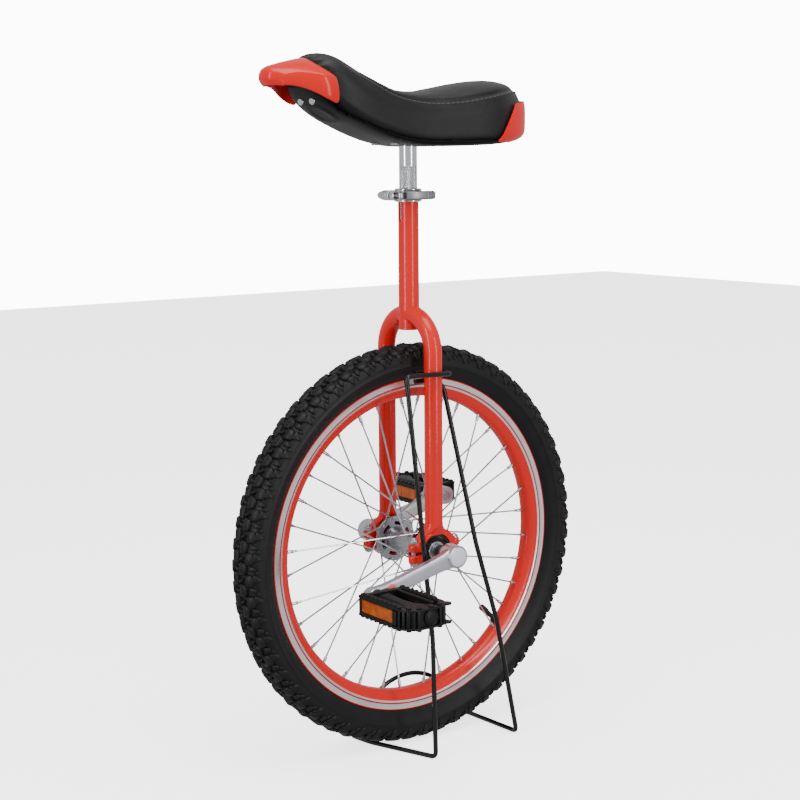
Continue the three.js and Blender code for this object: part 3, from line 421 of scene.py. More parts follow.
def makeTread(bm):
    pitch = 2 * math.pi * tyre["carcass"] / tyre["repeats"]
    tall = tyre["knobHeight"]
    for side in (1, -1):
        shift = pitch * 0.25 * side     # the two halves are half a pitch apart
        blocks = []
        # rounded shield near the middle, with a crescent bar ahead of it and a raised chevron on top
        blocks += addKnob(bm, (shift, 7.2), (19.5, 12.4), tall, 0.1, 0.9, 0.62, 2, 2.8)
        blocks += addKnob(bm, (shift + 12.0, 4.4), (4.2, 8.6), tall * 0.86, -0.42, 0.8, 0.8, 1, 1.0)
        blocks += addKnob(bm, (shift - 2.2, 6.4), (7.0, 1.8), tall + 0.8, 0.7, 0.7, 1, 1, 0.5, 0.0)
        blocks += addKnob(bm, (shift + 2.4, 6.6), (5.6, 1.8), tall + 0.8, -0.9, 0.7, 1, 1, 0.5, 0.0)
        # shoulder block between two shields, then its claw that points down the wall
        blocks += addKnob(bm, (shift + pitch * 0.5, 16.4), (17.0, 10.0), tall * 0.95, -0.12, 0.86, 0.8, 1,
                          1.4)
        blocks += addKnob(bm, (shift + pitch * 0.5 + 1.5, 26.0), (14.0, 13.0), 2.7, 0.1, 0.8, 0.12, 1, 0.9)
        # small nib under each shield
        blocks += addKnob(bm, (shift + 1.0, 20.6), (9.0, 9.0), tall * 0.66, 0.25, 0.8, 0.45, 1, 1.0)
        blocks += addKnob(bm, (shift - 3.4, 26.6), (6.0, 7.0), 1.7, 0.35, 0.75, 0.15, 1, 0.6)
        for vert in {v for v in blocks if v.is_valid}:
            along, across, up = vert.co
            y, radius, leanY, leanR = carcassPoint(across * side)
            angle = along / tyre["carcass"]
            radius, y = (radius + up * leanR) * mm, (y + up * leanY) * mm
            vert.co = (radius * math.cos(angle), y, radius * math.sin(angle))
    geometry = bm.verts[:] + bm.edges[:] + bm.faces[:]
    bmesh.ops.spin(bm, geom=geometry, cent=(0, 0, 0), axis=(0, 1, 0), angle=2 * math.pi,
                   steps=tyre["repeats"], use_duplicate=True, use_merge=False)
    bmesh.ops.delete(bm, geom=[v for v in geometry if isinstance(v, bmesh.types.BMVert)], context="VERTS")


def farSide(half):
    # the same outline on the other side of the wheel, run back the other way
    return [(r, -y) for r, y in reversed(half) if y > 0]


def makeTyre():
    bm = bmesh.new()
    makeTread(bm)
    outer = [p for p in tyre["section"] if p[1] > 0]
    inner = tyre["inside"]
    profile = outer + [(tyre["carcass"], 0.0)] + farSide(outer) + farSide(inner) + [(tyre["crown"],
                                                                                     0.0)] + inner
    addTurned(bm, [(r, -y) for r, y in profile], 168, Matrix.Rotation(math.radians(90), 4, "X"))
    bmesh.ops.translate(bm, vec=(0, 0, axleHeight), verts=bm.verts)
    finishMesh("treadedTyre", bm, [tyreRubber], 50, "wheel", ["tyre", "inner_tube"], merge=0)


makeTyre()
print("tyre done")


rim = {
    "well": 186.0,
    "wellOutside": 188.4,
    "bandGroove": (201.0, 202.8),   # painted groove between the two bright bands
    "brightFrom": 198.6,
    "lineAtEdge": 209.0,
    "valveAngle": 42.0,
}


def makeRim():
    bm = bmesh.new()
    low, high = rim["bandGroove"]
    half = [(186.2, 4.0), (187.4, 7.6), (190.4, 10.2), (195.0, 12.2), (rim["brightFrom"], 13.3),
            (198.9, 13.6), (low, 13.9), (low + 0.3, 13.3), (high - 0.3, 13.3), (high, 14.0),
            (rim["lineAtEdge"], 14.0), (209.8, 14.3), (210.4, 13.9), (210.4, 12.0), (201.5, 11.6),
            (196.0, 10.0), (189.8, 6.4)]
    profile = half + [(rim["wellOutside"], 0.0)] + farSide(half) + [(rim["well"], 0.0)]
    addTurned(bm, [(r, -y) for r, y in profile], 180, Matrix.Rotation(math.radians(90), 4, "X"))
    for face in bm.faces:
        middle = face.calc_center_median()
        radius, y = math.hypot(middle.x, middle.z) / mm, abs(middle.y) / mm
        if y > 12.6 and rim["brightFrom"] < radius < rim["lineAtEdge"]:
            face.material_index = 2 if low < radius < high else 1
    bmesh.ops.translate(bm, vec=(0, 0, axleHeight), verts=bm.verts)
    finishMesh("rimShell", bm, [enamelRed, brakeTrack, lineRed], 50, "wheel", ["rim", "rim_tape"])


def makeValve():
    low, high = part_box("valve_stem")
    turn = math.radians(rim["valveAngle"])
    out = Vector((-math.cos(turn), 0, -math.sin(turn)))
    centre = Vector((0, 0, axleHeight))
    bm = bmesh.new()
    addRod(bm, centre + out * 0.165, centre + out * 0.206, 0.0031, 20)
    addRod(bm, centre + out * 0.180, centre + out * 0.187, 0.0052, 20, 0.001)
    addTurned(bm, [(0, 0), (3.0, 0.2), (3.9, 1.2), (4.1, 3.0), (4.1, 13.0), (3.2, 14.0), (0, 14.0)], 20,
              turnTo(out, centre + out * 0.152), closed=False)
    finishMesh("valveStem", bm, [hoseRubber], 40, "wheel", ["valve_stem"])


makeRim()
makeValve()
print("rim and valve done")


hub = {
    "core": 12.0,
    "flange": 29.0,
    "slots": 6,
    "slotAngle": 35,        # degrees that each slot takes
    "slotBand": (17.2, 22.0),
    "flangeThick": 3.2,
    "holeCircle": 26.0,
    "spokeRadius": 1.05,
    "flangeY": 33.0,
    "perSide": 18,
    "lead": 48.0,           # degrees between a spoke's hub end and its rim end
}


def makeHub():
    bm = bmesh.new()
    slotLow, slotHigh = hub["slotBand"]
    upY = Matrix.Translation((0, 0, axleHeight)) @ Matrix.Rotation(math.radians(-90), 4, "X")
    for side in (1, -1):
        # flange: rings of faces with the lightening slots left out, then given its thickness
        verts = [bm.verts.new((r * mm, 0, 0)) for r in (hub["core"], slotLow, slotHigh, hub["flange"])]
        edges = [bm.edges.new(pair) for pair in zip(verts, verts[1:])]
        before = set(bm.faces)
        bmesh.ops.spin(bm, geom=verts + edges, cent=(0, 0, 0), axis=(0, 0, 1), angle=2 * math.pi,
                       steps=72, use_merge=True, use_duplicate=False)
        faces = [f for f in bm.faces if f not in before]
        gone = []
        for face in faces:
            middle = face.calc_center_median()
            angle = math.degrees(math.atan2(middle.y, middle.x)) % (360 / hub["slots"])
            if slotLow * mm < middle.length < slotHigh * mm and angle < hub["slotAngle"]:
                gone.append(face)
        bmesh.ops.delete(bm, geom=gone, context="FACES")
        faces = [f for f in bm.faces if f not in before]
        bmesh.ops.remove_doubles(bm, verts=list({v for f in faces for v in f.verts}), dist=1e-6)
        faces = [f for f in bm.faces if f not in before]
        bmesh.ops.recalc_face_normals(bm, faces=faces)
        bmesh.ops.solidify(bm, geom=faces, thickness=hub["flangeThick"] * mm)
        made = list({v for f in bm.faces if f not in before for v in f.verts})
        lowZ = min(v.co.z for v in made)
        bmesh.ops.translate(bm, vec=(0, 0, side * hub["flangeY"] * mm - lowZ - hub["flangeThick"] / 2 * mm),
                            verts=made)
        bmesh.ops.transform(bm, matrix=upY, verts=made)
    barrel = [(8.8, -39.6), (14.0, -39.6), (15.2, -37.5), (15.6, -34.8), (15.6, -31.0), (13.4, -27.0),
              (12.4, -20.0), (12.4, 20.0), (13.4, 27.0), (15.6, 31.0), (15.6, 34.8), (15.2, 37.5),
              (14.0, 39.6), (8.8, 39.6)]
    addTurned(bm, barrel, 48, upY)
    finishMesh("hubShell", bm, [zincSteel], 35, "wheel", ["hub_shell"], merge=0)


def makeSpokes(side, sign):
    bm = bmesh.new()
    offset = math.pi / hub["perSide"] if sign < 0 else 0.0
    for i in range(hub["perSide"]):
        rimAngle = (i + 0.25) * 2 * math.pi / hub["perSide"] - offset
        hubAngle = rimAngle + math.radians(hub["lead"]) * (1 if i % 2 == 0 else -1)
        outside = 1 if i % 2 == 0 else -1       # alternate spokes leave the two faces of the flange
        root = Vector((hub["holeCircle"] * math.cos(hubAngle), 0, hub["holeCircle"] * math.sin(hubAngle)))
        bend = root + Vector((0, hub["flangeY"] + outside * 2.4, 0))
        head = root + Vector((0, hub["flangeY"] - outside * 2.2, 0))
        tip = Vector((rim["well"] * math.cos(rimAngle), 3.2, rim["well"] * math.sin(rimAngle)))
        points = []
        for point in (head, bend, tip):
            points.append(Vector((point.x, sign * point.y, point.z)) * mm + Vector((0, 0, axleHeight)))
        head, bend, tip = points
        radius = hub["spokeRadius"] * mm
        addRod(bm, head, bend, radius, 8)
        addRod(bm, bend, tip, radius, 8)
        bmesh.ops.create_uvsphere(bm, u_segments=8, v_segments=6, radius=radius * 1.02,
                                  matrix=Matrix.Translation(bend))
        bmesh.ops.create_uvsphere(bm, u_segments=8, v_segments=6, radius=radius * 1.9,
                                  matrix=Matrix.Translation(head) @ Matrix.Diagonal((1, 0.6, 1, 1)))
        back = (bend - tip).normalized()
        # nipple: a round body that steps down to the square for the key
        addRod(bm, tip - back * 0.004, tip + back * 0.008, 0.0021, 10, 0.0004)
        addRod(bm, tip + back * 0.0075, tip + back * 0.0125, 0.0016, 4, 0.0003)
    finishMesh("spokes" + side.capitalize(), bm, [spokeSteel], 40, "wheel", ["spokes_" + side],
               merge=0)


makeHub()
for side, sign in sides:
    makeSpokes(side, sign)
print("hub and spokes done")


frameTube = {
    "tubeRadius": 12.7,
    "tubeWall": 1.3,
    "tubeTop": 691.0,
    "tubeBottom": 521.0,
    "slotBottom": 657.0,
    "legRadius": 11.1,
    "legY": 48.0,
    "legBottom": 284.4,
    "crownHeight": 494.0,
    "crownBend": 46.0,
    "weldHeight": 539.5,
}


def makeSeatTube():
    t = frameTube
    bm = bmesh.new()
    ringVerts = bmesh.ops.create_circle(bm, segments=50, radius=t["tubeRadius"] * mm,
                                        matrix=Matrix.Translation((0, 0, t["tubeBottom"] * mm)))["verts"]
    edges = list({e for v in ringVerts for e in v.link_edges})
    for height in (600.0, t["slotBottom"] - 2.5, t["slotBottom"], 670.0, t["tubeTop"]):
        made = bmesh.ops.extrude_edge_only(bm, edges=edges)["geom"]
        moved = [g for g in made if isinstance(g, bmesh.types.BMVert)]
        for vert in moved:
            vert.co.z = height * mm
        edges = [g for g in made if isinstance(g, bmesh.types.BMEdge)
                 and all(v in moved for v in g.verts)]
    # the clamping slot: two columns of faces in front are left out above its round end
    gone = []
    for face in bm.faces:
        middle = face.calc_center_median()
        angle = abs(math.degrees(math.atan2(middle.y, middle.x)))
        if angle < 7.3 and middle.z > (t["slotBottom"] - 2.4) * mm:
            gone.append(face)
    bmesh.ops.delete(bm, geom=gone, context="FACES")
    bmesh.ops.recalc_face_normals(bm, faces=bm.faces)
    bmesh.ops.solidify(bm, geom=bm.faces[:], thickness=t["tubeWall"] * mm)
    piece = finishMesh("seatTube", bm, [enamelRed], 35, "frame", ["seat_tube"])
    softEdges(piece, 0.0003, 2)


def makeLeg(side, sign):
    t = frameTube
    bm = bmesh.new()
    y = t["legY"] * mm
    ringVerts = bmesh.ops.create_circle(bm, cap_ends=False, segments=40, radius=t["legRadius"] * mm,
                                        matrix=Matrix.Translation((0, y, (t["legBottom"] - 2) * mm)))["verts"]
    edges = list({e for v in ringVerts for e in v.link_edges})
    made = bmesh.ops.extrude_edge_only(bm, edges=edges)["geom"]
    top = [g for g in made if isinstance(g, bmesh.types.BMVert)]
    for vert in top:
        vert.co.z = t["crownHeight"] * mm
    ring = [g for g in made if isinstance(g, bmesh.types.BMEdge) and all(v in top for v in g.verts)]
    centre = (0, (t["legY"] - t["crownBend"]) * mm, t["crownHeight"] * mm)
    spun = bmesh.ops.spin(bm, geom=top + ring, cent=centre, axis=(1, 0, 0), angle=math.radians(72), steps=20,
                          use_merge=False, use_duplicate=False)["geom_last"]
    ring = [g for g in spun if isinstance(g, bmesh.types.BMEdge)]
    # the last two rings meet the seat tube and spread into the weld
    for spread, out in ((1.0, 3.4), (1.12, 0.0)):
        made = bmesh.ops.extrude_edge_only(bm, edges=ring)["geom"]
        last = [g for g in made if isinstance(g, bmesh.types.BMVert)]
        middle = sum((v.co for v in last), Vector()) / len(last)
        for vert in last:
            vert.co.z = t["weldHeight"] * mm + (vert.co.z - middle.z) * spread
            vert.co.x *= spread
            reach = math.sqrt(max((t["tubeRadius"] + 0.05) ** 2 - (vert.co.x / mm) ** 2, 9.0))
            vert.co.y = (reach + out) * mm
        ring = [g for g in made if isinstance(g, bmesh.types.BMEdge) and all(v in last for v in g.verts)]
    if sign < 0:
        mirrorY(bm)
    # the upper end stays open against the seat tube, so that the post can pass it
    bmesh.ops.holes_fill(bm, edges=[e for e in bm.edges if all(v.co.z < 0.3 for v in e.verts)], sides=0)
    finishMesh("forkLeg" + side.capitalize(), bm, [enamelRed], 50, "frame", ["fork_leg_" + side])


holder = {
    "y": 48.0,
    "bore": 21.3,
    "boltX": 31.0,
}


def addHalfRing(bm, upper, outerRadius):
    # half of the ring round the bearing, spun in X and Z about the axle and given its width in Y
    h = holder
    sign = 1 if upper else -1
    tilt = math.asin(1.7 / h["bore"])
    profile = [(h["bore"], -7.3), (outerRadius - 1.0, -7.3), (outerRadius, -6.3), (outerRadius, 6.3),
               (outerRadius - 1.0, 7.3), (h["bore"], 7.3)]
    if upper:   # a raised lip round the seal
        profile = [(h["bore"], -7.3), (h["bore"] + 2.4, -7.3), (h["bore"] + 3.2, -6.5), (outerRadius, -6.5),
                   (outerRadius, 6.5), (h["bore"] + 3.2, 6.5), (h["bore"] + 2.4, 7.3), (h["bore"], 7.3)]
    before = set(bm.faces)
    verts = [bm.verts.new((r * math.cos(tilt) * mm, y * mm, sign * r * math.sin(tilt) * mm)) for r,
             y in profile]
    face = bm.faces.new(verts)
    bmesh.ops.spin(bm, geom=[face], cent=(0, 0, 0), axis=(0, -1, 0), angle=sign * (math.pi - 2 * tilt),
                   steps=32, use_merge=False, use_duplicate=False)
    made = [f for f in bm.faces if f not in before]
    bmesh.ops.recalc_face_normals(bm, faces=made)
    bmesh.ops.translate(bm, vec=(0, h["y"] * mm, axleHeight), verts=list({v for f in made for v in f.verts}))


def addEar(bm, x, z0, z1):
    # a round boss round the bolt with a web back to the ring
    y = holder["y"]
    addBlock(bm, (min(x * 0.7, x), y - 6.2, z0), (max(x * 0.7, x), y + 6.2, z1), 1.2, 3)
    addRod(bm, (x * mm, y * mm, z0 * mm), (x * mm, y * mm, z1 * mm), 0.0068, 40, 0.0015)


def makeHolder(side, sign):
    bm = bmesh.new()
    y = holder["y"] * mm
    addHalfRing(bm, True, 28.4)
    for x in (holder["boltX"], -holder["boltX"]):
        addEar(bm, x, 254.2, 263.6)
    # the foot of the leg spreads a little where it is welded to the ring
    rings = []
    for z, halfX, halfY, square in ((287.0, 11.2, 11.2, 2.0), (283.5, 11.5, 11.1, 2.1),
                                    (280.5, 12.4, 10.2, 2.3),
                                    (277.5, 14.6, 8.6, 2.8), (274.5, 18.2, 7.2, 3.6),
                                    (271.5, 21.4, 6.4, 4.4)):
        matrix = Matrix.Translation((0, y, z * mm)) @ Matrix.Diagonal((halfX * mm, halfY * mm, 1, 1))
        rings.append((matrix, square))
    loftRings(bm, rings, 40)
    # webs run down the ring to the ears
    for x in (1, -1):
        rings = []
        for px, pz, halfY, halfZ in ((19.0, 273.0, 6.0, 2.4), (23.0, 269.0, 6.0, 2.8),
                                     (26.5, 265.0, 6.1, 3.2),
                                     (30.0, 261.8, 6.2, 2.6), (33.0, 260.6, 5.4, 2.2)):
            matrix = Matrix.Translation((x * px * mm, y, pz * mm)) @ Matrix.Rotation(math.radians(90), 4, "Y")
            rings.append((matrix @ Matrix.Diagonal((halfZ * mm, halfY * mm, 1, 1)), 3.2))
        loftRings(bm, rings, 24)
    if sign < 0:
        mirrorY(bm)
    finishMesh("bearingHolder" + side.capitalize(), bm, [enamelRed], 45, "frame",
               ["bearing_holder_" + side], merge=0)


def makeCap(side, sign):
    bm = bmesh.new()
    addHalfRing(bm, False, 25.3)
    for x in (holder["boltX"], -holder["boltX"]):
        addEar(bm, x, 240.2, 249.6)
    if sign < 0:
        mirrorY(bm)
    finishMesh("bearingCap" + side.capitalize(), bm, [enamelRed], 45, "frame", ["bearing_cap_" + side],
               merge=0)


def makeCapFasteners(end, side, sign):
    x = (holder["boltX"] if end == "front" else -holder["boltX"]) * mm
    y = sign * holder["y"] * mm
    nutOnTop = end == "front"
    seatTop, seatBottom = 263.8, 240.0
    bm = bmesh.new()
    headZ, away = (seatBottom, -1) if nutOnTop else (seatTop, 1)
    dome = [(0, 4.9), (2.2, 4.6), (4.0, 3.6), (5.2, 2.0), (5.7, 0.0), (0, 0.0)]
    matrix = Matrix.Translation((x, y, headZ * mm))
    if away < 0:
        matrix = matrix @ Matrix.Rotation(math.pi, 4, "X")
    addTurned(bm, dome, 32, matrix, closed=False)
    shank = (seatBottom, seatTop + 7.6) if nutOnTop else (seatBottom - 7.6, seatTop)
    addRod(bm, (x, y, shank[0] * mm), (x, y, shank[1] * mm), 0.003, 20, 0.0005)
    for i in range(8):      # threads that show beyond the nut
        z = (shank[1] - 0.6 - i) if nutOnTop else (shank[0] + 0.6 + i)
        addTurned(bm, [(2.9, -0.35), (3.3, 0.0), (2.9, 0.35)], 20, Matrix.Translation((x, y, z * mm)))
    finishMesh(f"capBolt{end.capitalize()}{side.capitalize()}", bm, [zincSteel], 35, "frame",
               [f"cap_bolt_{end}_{side}"], merge=0)
    bm = bmesh.new()
    nutZ = seatTop if nutOnTop else seatBottom - 5.0
    addRod(bm, (x, y, nutZ * mm), (x, y, (nutZ + 5.0) * mm), 0.0058, 6, 0.0006)
    nut = finishMesh(f"capNut{end.capitalize()}{side.capitalize()}", bm, [zincSteel], 25, "frame",
                     [f"cap_nut_{end}_{side}"])
    softEdges(nut, 0.0003, 2, 30)


def makeBearing(side, sign):
    matrix = Matrix.Translation((0, sign * holder["y"] * mm,
                                 axleHeight)) @ Matrix.Rotation(math.radians(-90), 4, "X")
    bm = bmesh.new()
    addTurned(bm, [(17.3, -6), (20.4, -6), (21.0, -5.4), (21.0, 5.4), (20.4, 6), (17.3, 6)], 64, matrix)
    finishMesh("bearingOuter" + side.capitalize(), bm, [enamelBlack], 40, "frame",
               ["bearing_outer_" + side])
    bm = bmesh.new()
    addTurned(bm, [(11.6, -5.4), (16.4, -5.6), (16.4, 5.6), (11.6, 5.4)], 64, matrix)
    addTurned(bm, [(8.8, -6), (11.4, -6), (11.8, -5.5), (11.8, 5.5), (11.4, 6), (8.8, 6)], 64, matrix,
              material=1)
    finishMesh("bearingInner" + side.capitalize(), bm, [sealRubber, zincSteel], 40, "wheel",
               ["bearing_inner_" + side], merge=0)


makeSeatTube()
for side, sign in sides:
    makeLeg(side, sign)
    makeHolder(side, sign)
    makeCap(side, sign)
    makeBearing(side, sign)
    for end in ("front", "rear"):
        makeCapFasteners(end, side, sign)
print("frame done")


crank = {
    "length": 125.0,
    "drop": 14.4,
    "inner": 82.0,
    "outer": 95.0,
    "bossInner": 76.0,
    "bossOuter": 97.5,
    "bossRadius": 14.0,
}


def crankMatrix(sign):
    turn = math.radians(crank["drop"] + (0 if sign > 0 else 180))
    return Matrix.Translation((0, 0, axleHeight)) @ Matrix.Rotation(turn, 4, "Y")


def makeCrank(side, sign):
    c = crank
    bm = bmesh.new()
    middle = (c["inner"] + c["outer"]) / 2
    rings = []
    for x, halfZ, halfY, square in ((0, 12.8, 6.2, 4), (8, 12.2, 6.3, 4), (16, 10.8, 6.4, 4.4),
                                    (26, 9.8, 6.5, 4.6),
                                    (40, 9.3, 6.5, 4.6), (70, 9.0, 6.5, 4.6), (96, 8.8, 6.5, 4.6),
                                    (108, 9.4, 6.5, 4.4), (116, 10.6, 6.5, 4.2), (125, 11.4, 6.4, 4),
                                    (131, 9.6, 6.2, 3.6), (134.4, 6.2, 5.8, 3.0)):
        matrix = Matrix.Translation((x * mm, middle * mm, 0)) @ Matrix.Rotation(math.radians(90), 4, "Y")
        rings.append((matrix @ Matrix.Diagonal((halfZ * mm, halfY * mm, 1, 1)), square))
    loftRings(bm, rings, 48)
    low, high, radius = c["bossInner"], c["bossOuter"], c["bossRadius"]
    boss = [(7.5, low), (12.6, low), (radius, low + 1.4), (radius, high - 1.9), (13.4, high - 0.4),
            (12.6, high),
            (12.4, high), (12.4, 92.0), (7.5, 92.0)]
    addTurned(bm, boss, 64, Matrix.Rotation(math.radians(-90), 4, "X"))
    eye = [(6.8, 81.8), (10.8, 81.8), (11.9, 82.8), (11.9, 94.4), (11.0, 95.3), (6.8, 95.3)]
    addTurned(bm, eye, 48, Matrix.Translation((c["length"] * mm, 0, 0))
              @ Matrix.Rotation(math.radians(-90), 4, "X"))
    # round sticker near the pedal end
    addTurned(bm, [(0, 0.16), (4.9, 0.16), (5.1, 0.0)], 40,
              Matrix.Translation((0.1005, (c["outer"] + 0.02) * mm, 0.0028))
              @ Matrix.Rotation(math.radians(-90), 4, "X"),
              material=1, closed=False)
    if sign < 0:
        mirrorY(bm)
    bmesh.ops.transform(bm, matrix=crankMatrix(sign), verts=bm.verts)
    finishMesh("crankArm" + side.capitalize(), bm, [castAluminium, stickerCoral], 40, "wheel",
               ["crank_" + side, "crank_bolt_" + side], merge=0)


def makeCrankCap(side, sign):
    bm = bmesh.new()
    out = crank["bossOuter"]
    addTurned(bm, [(0, out + 1.3), (6.0, out + 1.25), (10.4, out + 0.9), (11.6, out + 0.3), (11.9, out - 0.6),
                   (11.9, out - 3), (0, out - 3)], 64, Matrix.Rotation(math.radians(-90), 4, "X"),
              closed=False)
    if sign < 0:
        mirrorY(bm)
    bmesh.ops.transform(bm, matrix=crankMatrix(sign), verts=bm.verts)
    finishMesh("crankCap" + side.capitalize(), bm, [capPlastic], 50, "wheel", ["crank_cap_" + side])


for side, sign in sides:
    makeCrank(side, sign)
    makeCrankCap(side, sign)
print("cranks done")


pedal = {
    "inner": 104.5,
    "outer": 199.5,
    "halfDepth": 32.0,
    "halfHeight": 12.0,
    "corner": 20.0,
    "toothedLength": 70.0,
    "teeth": 8,
    "toothHeight": 2.4,
    "flange": 2.6,          # thickness of the top and bottom edge
}


def addPedalWall(bm, shrink, thick, z0, z1):
    # a standing ring of plastic: a block with two round outer corners, hollowed from both faces
    p = pedal
    before = set(bm.faces)
    depth, high = p["halfDepth"] - shrink, p["outer"] - shrink
    made = addBlock(bm, (-depth, p["inner"] + shrink, z0), (depth, high, z1))
    corners = [e for e in {e for v in made for e in v.link_edges}
               if all(v.co.y > (high - 1) * mm for v in e.verts)
                  and abs(e.verts[0].co.x - e.verts[1].co.x) < 1e-6]
    bmesh.ops.bevel(bm, geom=corners, offset=(p["corner"] - shrink) * mm, affect="EDGES", segments=10,
                    profile=0.5, material=-1)
    lids = [f for f in bm.faces if f not in before and abs(f.normal.z) > 0.9]
    bmesh.ops.inset_individual(bm, faces=lids, thickness=thick * mm, use_even_offset=True)
    rims = [e for f in lids for e in f.edges]
    bmesh.ops.delete(bm, geom=lids, context="FACES_ONLY")
    bmesh.ops.bridge_loops(bm, edges=rims)


def makePedal(side, sign):
    p = pedal
    bm = bmesh.new()
    half = p["halfHeight"]
    addPedalWall(bm, 3.4, 3.0, -half + 0.6, half - 0.6)
    for z0, z1 in ((half - p["flange"], half), (-half, -half + p["flange"])):
        addPedalWall(bm, 0.0, 7.6, z0, z1)
    pitch = p["toothedLength"] / p["teeth"]
    for k in range(p["teeth"]):
        y = p["inner"] + (k + 0.5) * pitch
        for x in (28.0, -28.0):
            for up in (1, -1):
                made = addBlock(bm, (x - 3.6, y - 2.9, up * half - 1), (x + 3.6, y + 2.9, up * half + 1), 0)
                tip = [v for v in made if v.co.z * up > half * mm]
                bmesh.ops.scale(bm, vec=(0.6, 0.55, 1), verts=tip,
                                space=Matrix.Translation((-x * mm, -y * mm, 0)))
                for vert in tip:
                    vert.co.z = up * (half + p["toothHeight"]) * mm
    for x, y in ((28.0, 178.5), (22.5, 189.0), (12.5, 195.0), (-4.0, 195.6), (-17.0, 194.0)):
        for up in (1, -1):
            tall = up * (half + p["toothHeight"])
            addRod(bm, (x * mm, y * mm, up * (half - 1) * mm), (x * mm, y * mm, tall * mm), 0.0031, 16,
                   0.0011)
    # an inner bar runs beside each rail
    for x in (20.4, -20.4):
        addBlock(bm, (x - 2.6, p["inner"] + 7, 4.5), (x + 2.6, p["inner"] + 74, half - 0.6), 1.0, 2)
    # barrel over the spindle, wide and flat at both ends and waisted between
    rings = []
    for y, halfX, halfZ, square in ((105.0, 15.0, 10.6, 3.2), (112.0, 12.0, 10.2, 3.0),
                                    (124.0, 9.2, 9.6, 2.6),
                                    (142.0, 8.2, 9.2, 2.4), (160.0, 9.6, 9.6, 2.6), (172.0, 14.0, 10.2, 3.0),
                                    (182.0, 20.0, 10.8, 3.6), (192.0, 24.0, 11.0, 4.0)):
        matrix = Matrix.Translation((0, y * mm, 0)) @ Matrix.Rotation(math.radians(90), 4, "X")
        rings.append((matrix @ Matrix.Diagonal((halfX * mm, halfZ * mm, 1, 1)), square))
    loftRings(bm, rings, 32)
    # backing behind each reflector
    for x in (28.4, -28.4):
        addBlock(bm, (x - 2.6, p["inner"] + 4.0, -9.0), (x + 2.2, p["inner"] + 66.0, 9.0), 0.4, 1)
        # frame round the reflector: upper, lower and two upright bars
        face = math.copysign(31.9, x)
        inside = math.copysign(28.6, x)
        lowX, highX = min(face, inside), max(face, inside)
        for z0, z1 in ((7.5, 10.4), (-10.4, -7.5)):
            addBlock(bm, (lowX, p["inner"] + 0.6, z0), (highX, p["inner"] + 73.0, z1), 0.6, 2)
        for y0, y1 in ((0.6, 4.6), (65.4, 73.0)):
            addBlock(bm, (lowX, p["inner"] + y0, -10.4), (highX, p["inner"] + y1, 10.4), 0.6, 2)
    # upright ribs round the outer corners leave dark slots between them
    for sideX in (1, -1):
        centre = Vector((sideX * 12.0, 179.5, 0))
        for angle in (8, 26, 44, 62, 80):
            a = math.radians(angle)
            spot = centre + Vector((sideX * math.cos(a), math.sin(a), 0)) * 18.6
            matrix = Matrix.Translation(spot * mm) @ Matrix.Rotation(a if sideX > 0 else math.pi - a, 4, "Z")
            made = bmesh.ops.create_cube(bm, size=1, matrix=matrix
                                         @ Matrix.Diagonal((0.0030, 0.0034, 0.0205, 1)))
            edges = {e for v in made["verts"] for e in v.link_edges}
            bmesh.ops.bevel(bm, geom=list(edges), offset=0.0007, affect="EDGES", segments=2, profile=0.5,
                            material=-1)
    # bearing cap on the outer end and tabs at the rear outer corner
    endCap = Matrix.Translation((-0.003, 0.1978, 0)) @ Matrix.Rotation(math.radians(-90), 4, "X")
    addTurned(bm, [(0, 0.9), (6.6, 0.9), (7.3, 0.5), (7.5, 0.0), (8.3, 0.0), (8.6, 0.7), (9.2, 0.9),
                   (9.8, 0.2),
                   (9.8, -1), (0, -1)], 40, endCap, closed=False)
    for z in (half - 1.3, -half + 1.3):
        addRod(bm, (-0.0285, 0.1915, (z - 1.2) * mm), (-0.0285, 0.1915, (z + 1.2) * mm), 0.0062, 28, 0.0008)
    if sign < 0:
        mirrorY(bm)
    low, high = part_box("pedal_cage_" + side)
    spot = crankMatrix(sign) @ Vector((crank["length"] * mm, 0, 0))
    bmesh.ops.translate(bm, vec=(spot.x, 0, spot.z), verts=bm.verts)
    piece = finishMesh("pedalCage" + side.capitalize(), bm, [pedalNylon], 35, "pedal_" + side,
                       ["pedal_cage_" + side], merge=0)
    softEdges(piece, 0.0005, 2, 45)
    for end, front in (("front", 1), ("rear", -1)):
        makeReflector(end, front, side, sign, spot)


def makeReflector(end, front, side, sign, spot):
    # two prism cells with a plain bar between them and a thin plain border
    bm = bmesh.new()
    y0 = pedal["inner"] + 5.0
    near, far = front * 28.7, front * 30.9
    addBlock(bm, (min(near, far), y0, -7.2), (max(near, far), y0 + 60.0, 7.2), 0.3, 2)
    for a, b in ((1.4, 28.6), (31.4, 58.6)):
        cell = front * 31.3
        addBlock(bm, (min(far, cell), y0 + a, -6.0), (max(far, cell), y0 + b, 6.0), 0.25, 1)
    if sign < 0:
        mirrorY(bm)
    bmesh.ops.translate(bm, vec=(spot.x, 0, spot.z), verts=bm.verts)
    finishMesh(f"reflector{end.capitalize()}{side.capitalize()}", bm, [amberAcrylic], 30, "pedal_" + side,
               [f"reflector_{end}_{side}"], merge=0)


